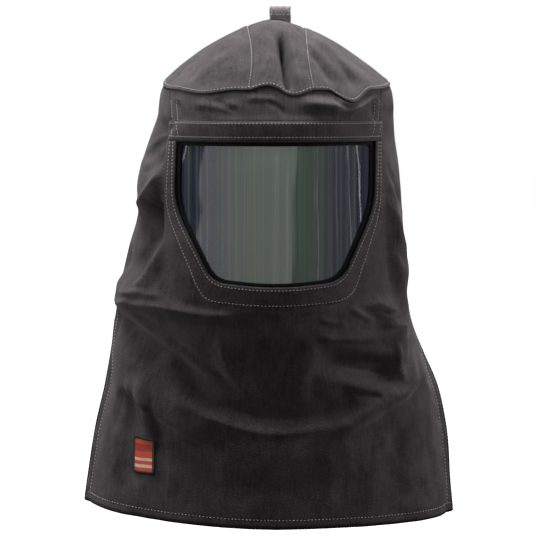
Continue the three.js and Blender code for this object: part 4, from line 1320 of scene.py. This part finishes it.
def patchCorners(inset):
    halfWide, halfHigh = patch["width"] / 2 - inset, patch["height"] / 2 - inset
    x, d = patchMiddle
    around = [(-1, 1), (1, 1), (1, -1), (-1, -1)]
    return [(x + a * halfWide, d + b * halfHigh, max(patch["round"] - inset, 0.0004)) for a, b in around]


def patchField():
    bm = cellNet(40, 60)
    line = roundedLine(patchCorners(patch["rim"] * 0.6), straight=12, bend=8)
    size = np.array([patch["width"], patch["height"]])
    corner = np.array(patchMiddle) - size / 2
    cutAlong(bm, (line - corner) / size, keepInside=True)
    bm.verts.index_update()
    u, v = netCoordinates(bm)
    across, down = corner[0] + u * size[0], corner[1] + v * size[1]
    lift = patch["gap"] + patch["raised"] + patch["ribRise"] * np.sin(across / patch["rib"] * 2 * math.pi)
    around = frontAround(across, down)
    places = clothOffset("front", around, down, lift)
    drape(bm, places, np.stack([u, 1 - v], -1), outwardOf("front", around, down))
    field = addPiece("patch_field_weave", bm, patchWeave())
    thicken(field, patch["weave"])
    dress(field, ["patch_field"])


def patchRim():
    ring = roundedLine(patchCorners(patch["rim"] / 2), straight=40, bend=24)
    count = len(ring)
    bm = cellNet(count, 8)
    u, v = netCoordinates(bm)
    i = np.rint(u * count).astype(int) % count
    step = np.roll(ring, -1, axis=0) - np.roll(ring, 1, axis=0)
    out = np.stack([step[:, 1], -step[:, 0]], -1)
    out /= np.linalg.norm(out, axis=1, keepdims=True)
    far = np.concatenate([[0], np.cumsum(np.linalg.norm(np.diff(ring, axis=0), axis=1))])
    turn = v * 2 * math.pi
    wrap = patch["wrap"] * np.sin(far[i] / patch["wrapPitch"] * 2 * math.pi + turn)
    plan = ring[i] + out[i] * ((patch["rim"] / 2 + wrap) * np.cos(turn))[:, None]
    lift = patch["rimHeight"] + (patch["rimThick"] + wrap) * np.sin(turn)
    places = frontOffset(plan[:, 0], plan[:, 1], lift)
    middle = frontOffset(ring[i][:, 0], ring[i][:, 1], np.full(len(u), 0.0013))
    drape(bm, places, np.stack([far[i], v * patch["rimGirth"]], -1), places - middle)
    bmesh.ops.remove_doubles(bm, verts=bm.verts, dist=0.00003)
    bmesh.ops.recalc_face_normals(bm, faces=bm.faces)
    rim = addPiece("patch_edge_overlock", bm, patchThread())
    dress(rim, ["patch_edge"])


# Stitches. A real thread is about 0.4 mm thick, and is drawn at 1 mm so that it shows.

stitch = {
    "pitch": 0.0043, "length": 0.0026, "thick": 0.001, "sink": 0.00015, "above": 0.002, "reach": 0.02,
    "fromHem": 0.008, "besideSeam": 0.0025, "crownRing": 0.983, "fromStrapEdge": 0.0025,
    "endRows": (0.0035, 0.0115),
}


# Lays stitches along lines of points, on the pieces under them
def stitchRows(name, rows, pieces):
    depsgraph = bpy.context.evaluated_depsgraph_get()
    trees = [BVHTree.FromObject(p, depsgraph) for p in pieces]
    gathered = bmesh.new()
    for row in rows:
        points = linePoints(row, stitch["pitch"])
        bm = bmesh.new()
        for a, b in zip(points[:-1], points[1:]):
            middle = Vector((a + b) / 2)
            hits = [t.find_nearest(middle, stitch["reach"]) for t in trees]
            hits = [h for h in hits if h[0] is not None]
            if not hits:
                continue
            place, normal, _, _ = min(hits, key=lambda h: h[3])
            along = Vector(b - a)
            along = (along - normal * along.dot(normal)).normalized()
            turn = Matrix((along, normal.cross(along), normal)).transposed().to_4x4()
            size = Matrix.Diagonal((stitch["length"] / 2, stitch["thick"] / 2, stitch["thick"] / 2, 1))
            at = Matrix.Translation(place + normal * stitch["sink"])
            bmesh.ops.create_uvsphere(bm, u_segments=6, v_segments=4, radius=1, matrix=at @ turn @ size)
        part = bpy.data.meshes.new("row")
        bm.to_mesh(part)
        bm.free()
        gathered.from_mesh(part)
        bpy.data.meshes.remove(part)
    for face in gathered.faces:
        face.smooth = True
    piece = addPiece(name, gathered, sewing)
    dress(piece, [])


# Places just above the front, along a line seen from the front
def frontLine(points):
    points = linePoints(points, stitch["pitch"])
    return frontOffset(points[:, 0], points[:, 1], np.full(len(points), stitch["above"]))


# Two rows along each band, and two short ones across the top band's ends and on over the brow
def windowStitches(pieces):
    inner, outer = lowerBandLines()
    width = np.linalg.norm(outer - inner, axis=1, keepdims=True)
    near = inner + (outer - inner) / width * bands["innerRow"]
    farther = inner + (outer - inner) * (1 - bands["highRow"] / width)
    rows = [frontLine(near), frontLine(farther)]
    for gap in topRows:
        rows.append(frontLine([(bandLeft + 0.001, windowDrop - gap), (bandRight - 0.001, windowDrop - gap)]))
    top = windowDrop - hood["topBandHeight"]
    start = 1 - top / windowDrop
    for end, low, high, way in (
        (bandLeft, browCorners[0][0], browCorners[3][0], 1),
        (bandRight, browCorners[1][0], browCorners[2][0], -1),
    ):
        for inset in stitch["endRows"]:
            foot = (end + way * (inset + 0.002), windowDrop - 0.004)
            rows.append(frontLine([foot, (end + way * (inset - 0.002), top)]))
        for inset in stitch["endRows"]:
            rows.append(frontLine([
                (low + (high - low) * t + way * (inset - 0.004), windowDrop * (1 - t))
                for t in np.linspace(start, start + 0.17, 8)
            ]))
    stitchRows("window_stitches", rows, pieces)


def bibStitches(side, piece):
    fromHem = stitch["fromHem"]
    around = np.linspace(-0.985, 0.985, 200)
    rows = [clothOffset(side, around, hemDrop(around) - fromHem, np.zeros(around.shape))]
    opening = hood["bibForward" if side == "front" else "bibBehind"]
    for way in (-1, 1):
        down = np.linspace(slitDrop - 0.02, hemDrop(way) - fromHem, 80)
        reach = sectionValue(side, down / hoodHeight) * hood["depth"] - slitOpening(down) * opening
        inset = fromHem / (math.pi / 2 * reach)
        rows.append(clothOffset(side, way * (1 - inset), down, np.zeros(down.shape)))
    stitchRows("bib_stitches_" + side, rows, [piece])


# A row runs beside each seam of the strip, found by halving, and one round the crown above its edge
def crownStitches(pieces):
    rows = []
    ring = np.linspace(0.1, 0.985, 70)
    for seam, outer in ((leftSeam, -1), (rightSeam, 1)):
        halves = []
        for side in ("front", "back"):
            near, far = np.zeros(ring.shape), np.full(ring.shape, 1.0 * outer)
            for _ in range(20):
                middle = (near + far) / 2
                places = crownPlace(side, middle, ring)
                gap = (places[:, 0] - seam(places[:, 2])) * outer - stitch["besideSeam"]
                near, far = np.where(gap < 0, middle, near), np.where(gap < 0, far, middle)
            halves.append(bowSeams(places[np.abs(gap) < 0.001]))
        rows.append(np.vstack([halves[0][::-1], halves[1]]))
    around = np.linspace(-1, 1, 170)
    for side in ("front", "back"):
        rows.append(bowSeams(crownPlace(side, around, np.full(around.shape, stitch["crownRing"]))))
    stitchRows("crown_stitches", rows, pieces)


def loopStitches(piece):
    path = loopPath()
    left = loop["shift"] - loop["width"] / 2 + stitch["fromStrapEdge"]
    right = left + loop["width"] - 2 * stitch["fromStrapEdge"]
    rows = [np.array([(x, y, z) for y, z in path[2:-2]]) for x in (left, right)]
    rows += [np.array([(left, y, z), (right, y, z)]) for y, z in (path[3], path[-4])]
    stitchRows("loop_stitches", rows, [piece])


addCamera()
addStudio()
print("camera and studio ready")

frontCloth = sidePanel("front", "front_cloth")
dress(frontCloth, ["front_panel"])
print("front panel:", len(frontCloth.data.polygons), "faces")
browCloth = browPiece()
dress(browCloth, ["brow_panel"])
backCloth = sidePanel("back", "back_cloth")
dress(backCloth, ["back_panel"])
print("back panel:", len(backCloth.data.polygons), "faces")

net = crownNet()
crownStrip = crownPiece("crown_strip", net, [(leftSeam, -1), (rightSeam, 1)])
crownLeftSide = crownPiece("crown_left_cloth", net, [(leftSeam, 1)])
crownRightSide = crownPiece("crown_right_cloth", net, [(rightSeam, -1)])
net.free()
dress(crownStrip, ["crown_center"])
dress(crownLeftSide, ["crown_left"])
dress(crownRightSide, ["crown_right"])
print("crown ready")

topBand, lowerBand = windowBands()
facingPiece()
shieldPiece()
edgePiece("front", "front_binding_tape", "front_binding")
edgePiece("back", "back_binding_tape", "back_binding")
strap = loopPiece()
patchField()
patchRim()
print("bands, shield, bindings, loop and patch ready")

windowStitches([topBand, lowerBand, browCloth])
bibStitches("front", frontCloth)
bibStitches("back", backCloth)
crownStitches([crownStrip, crownLeftSide, crownRightSide])
loopStitches(strap)
print("stitches ready")
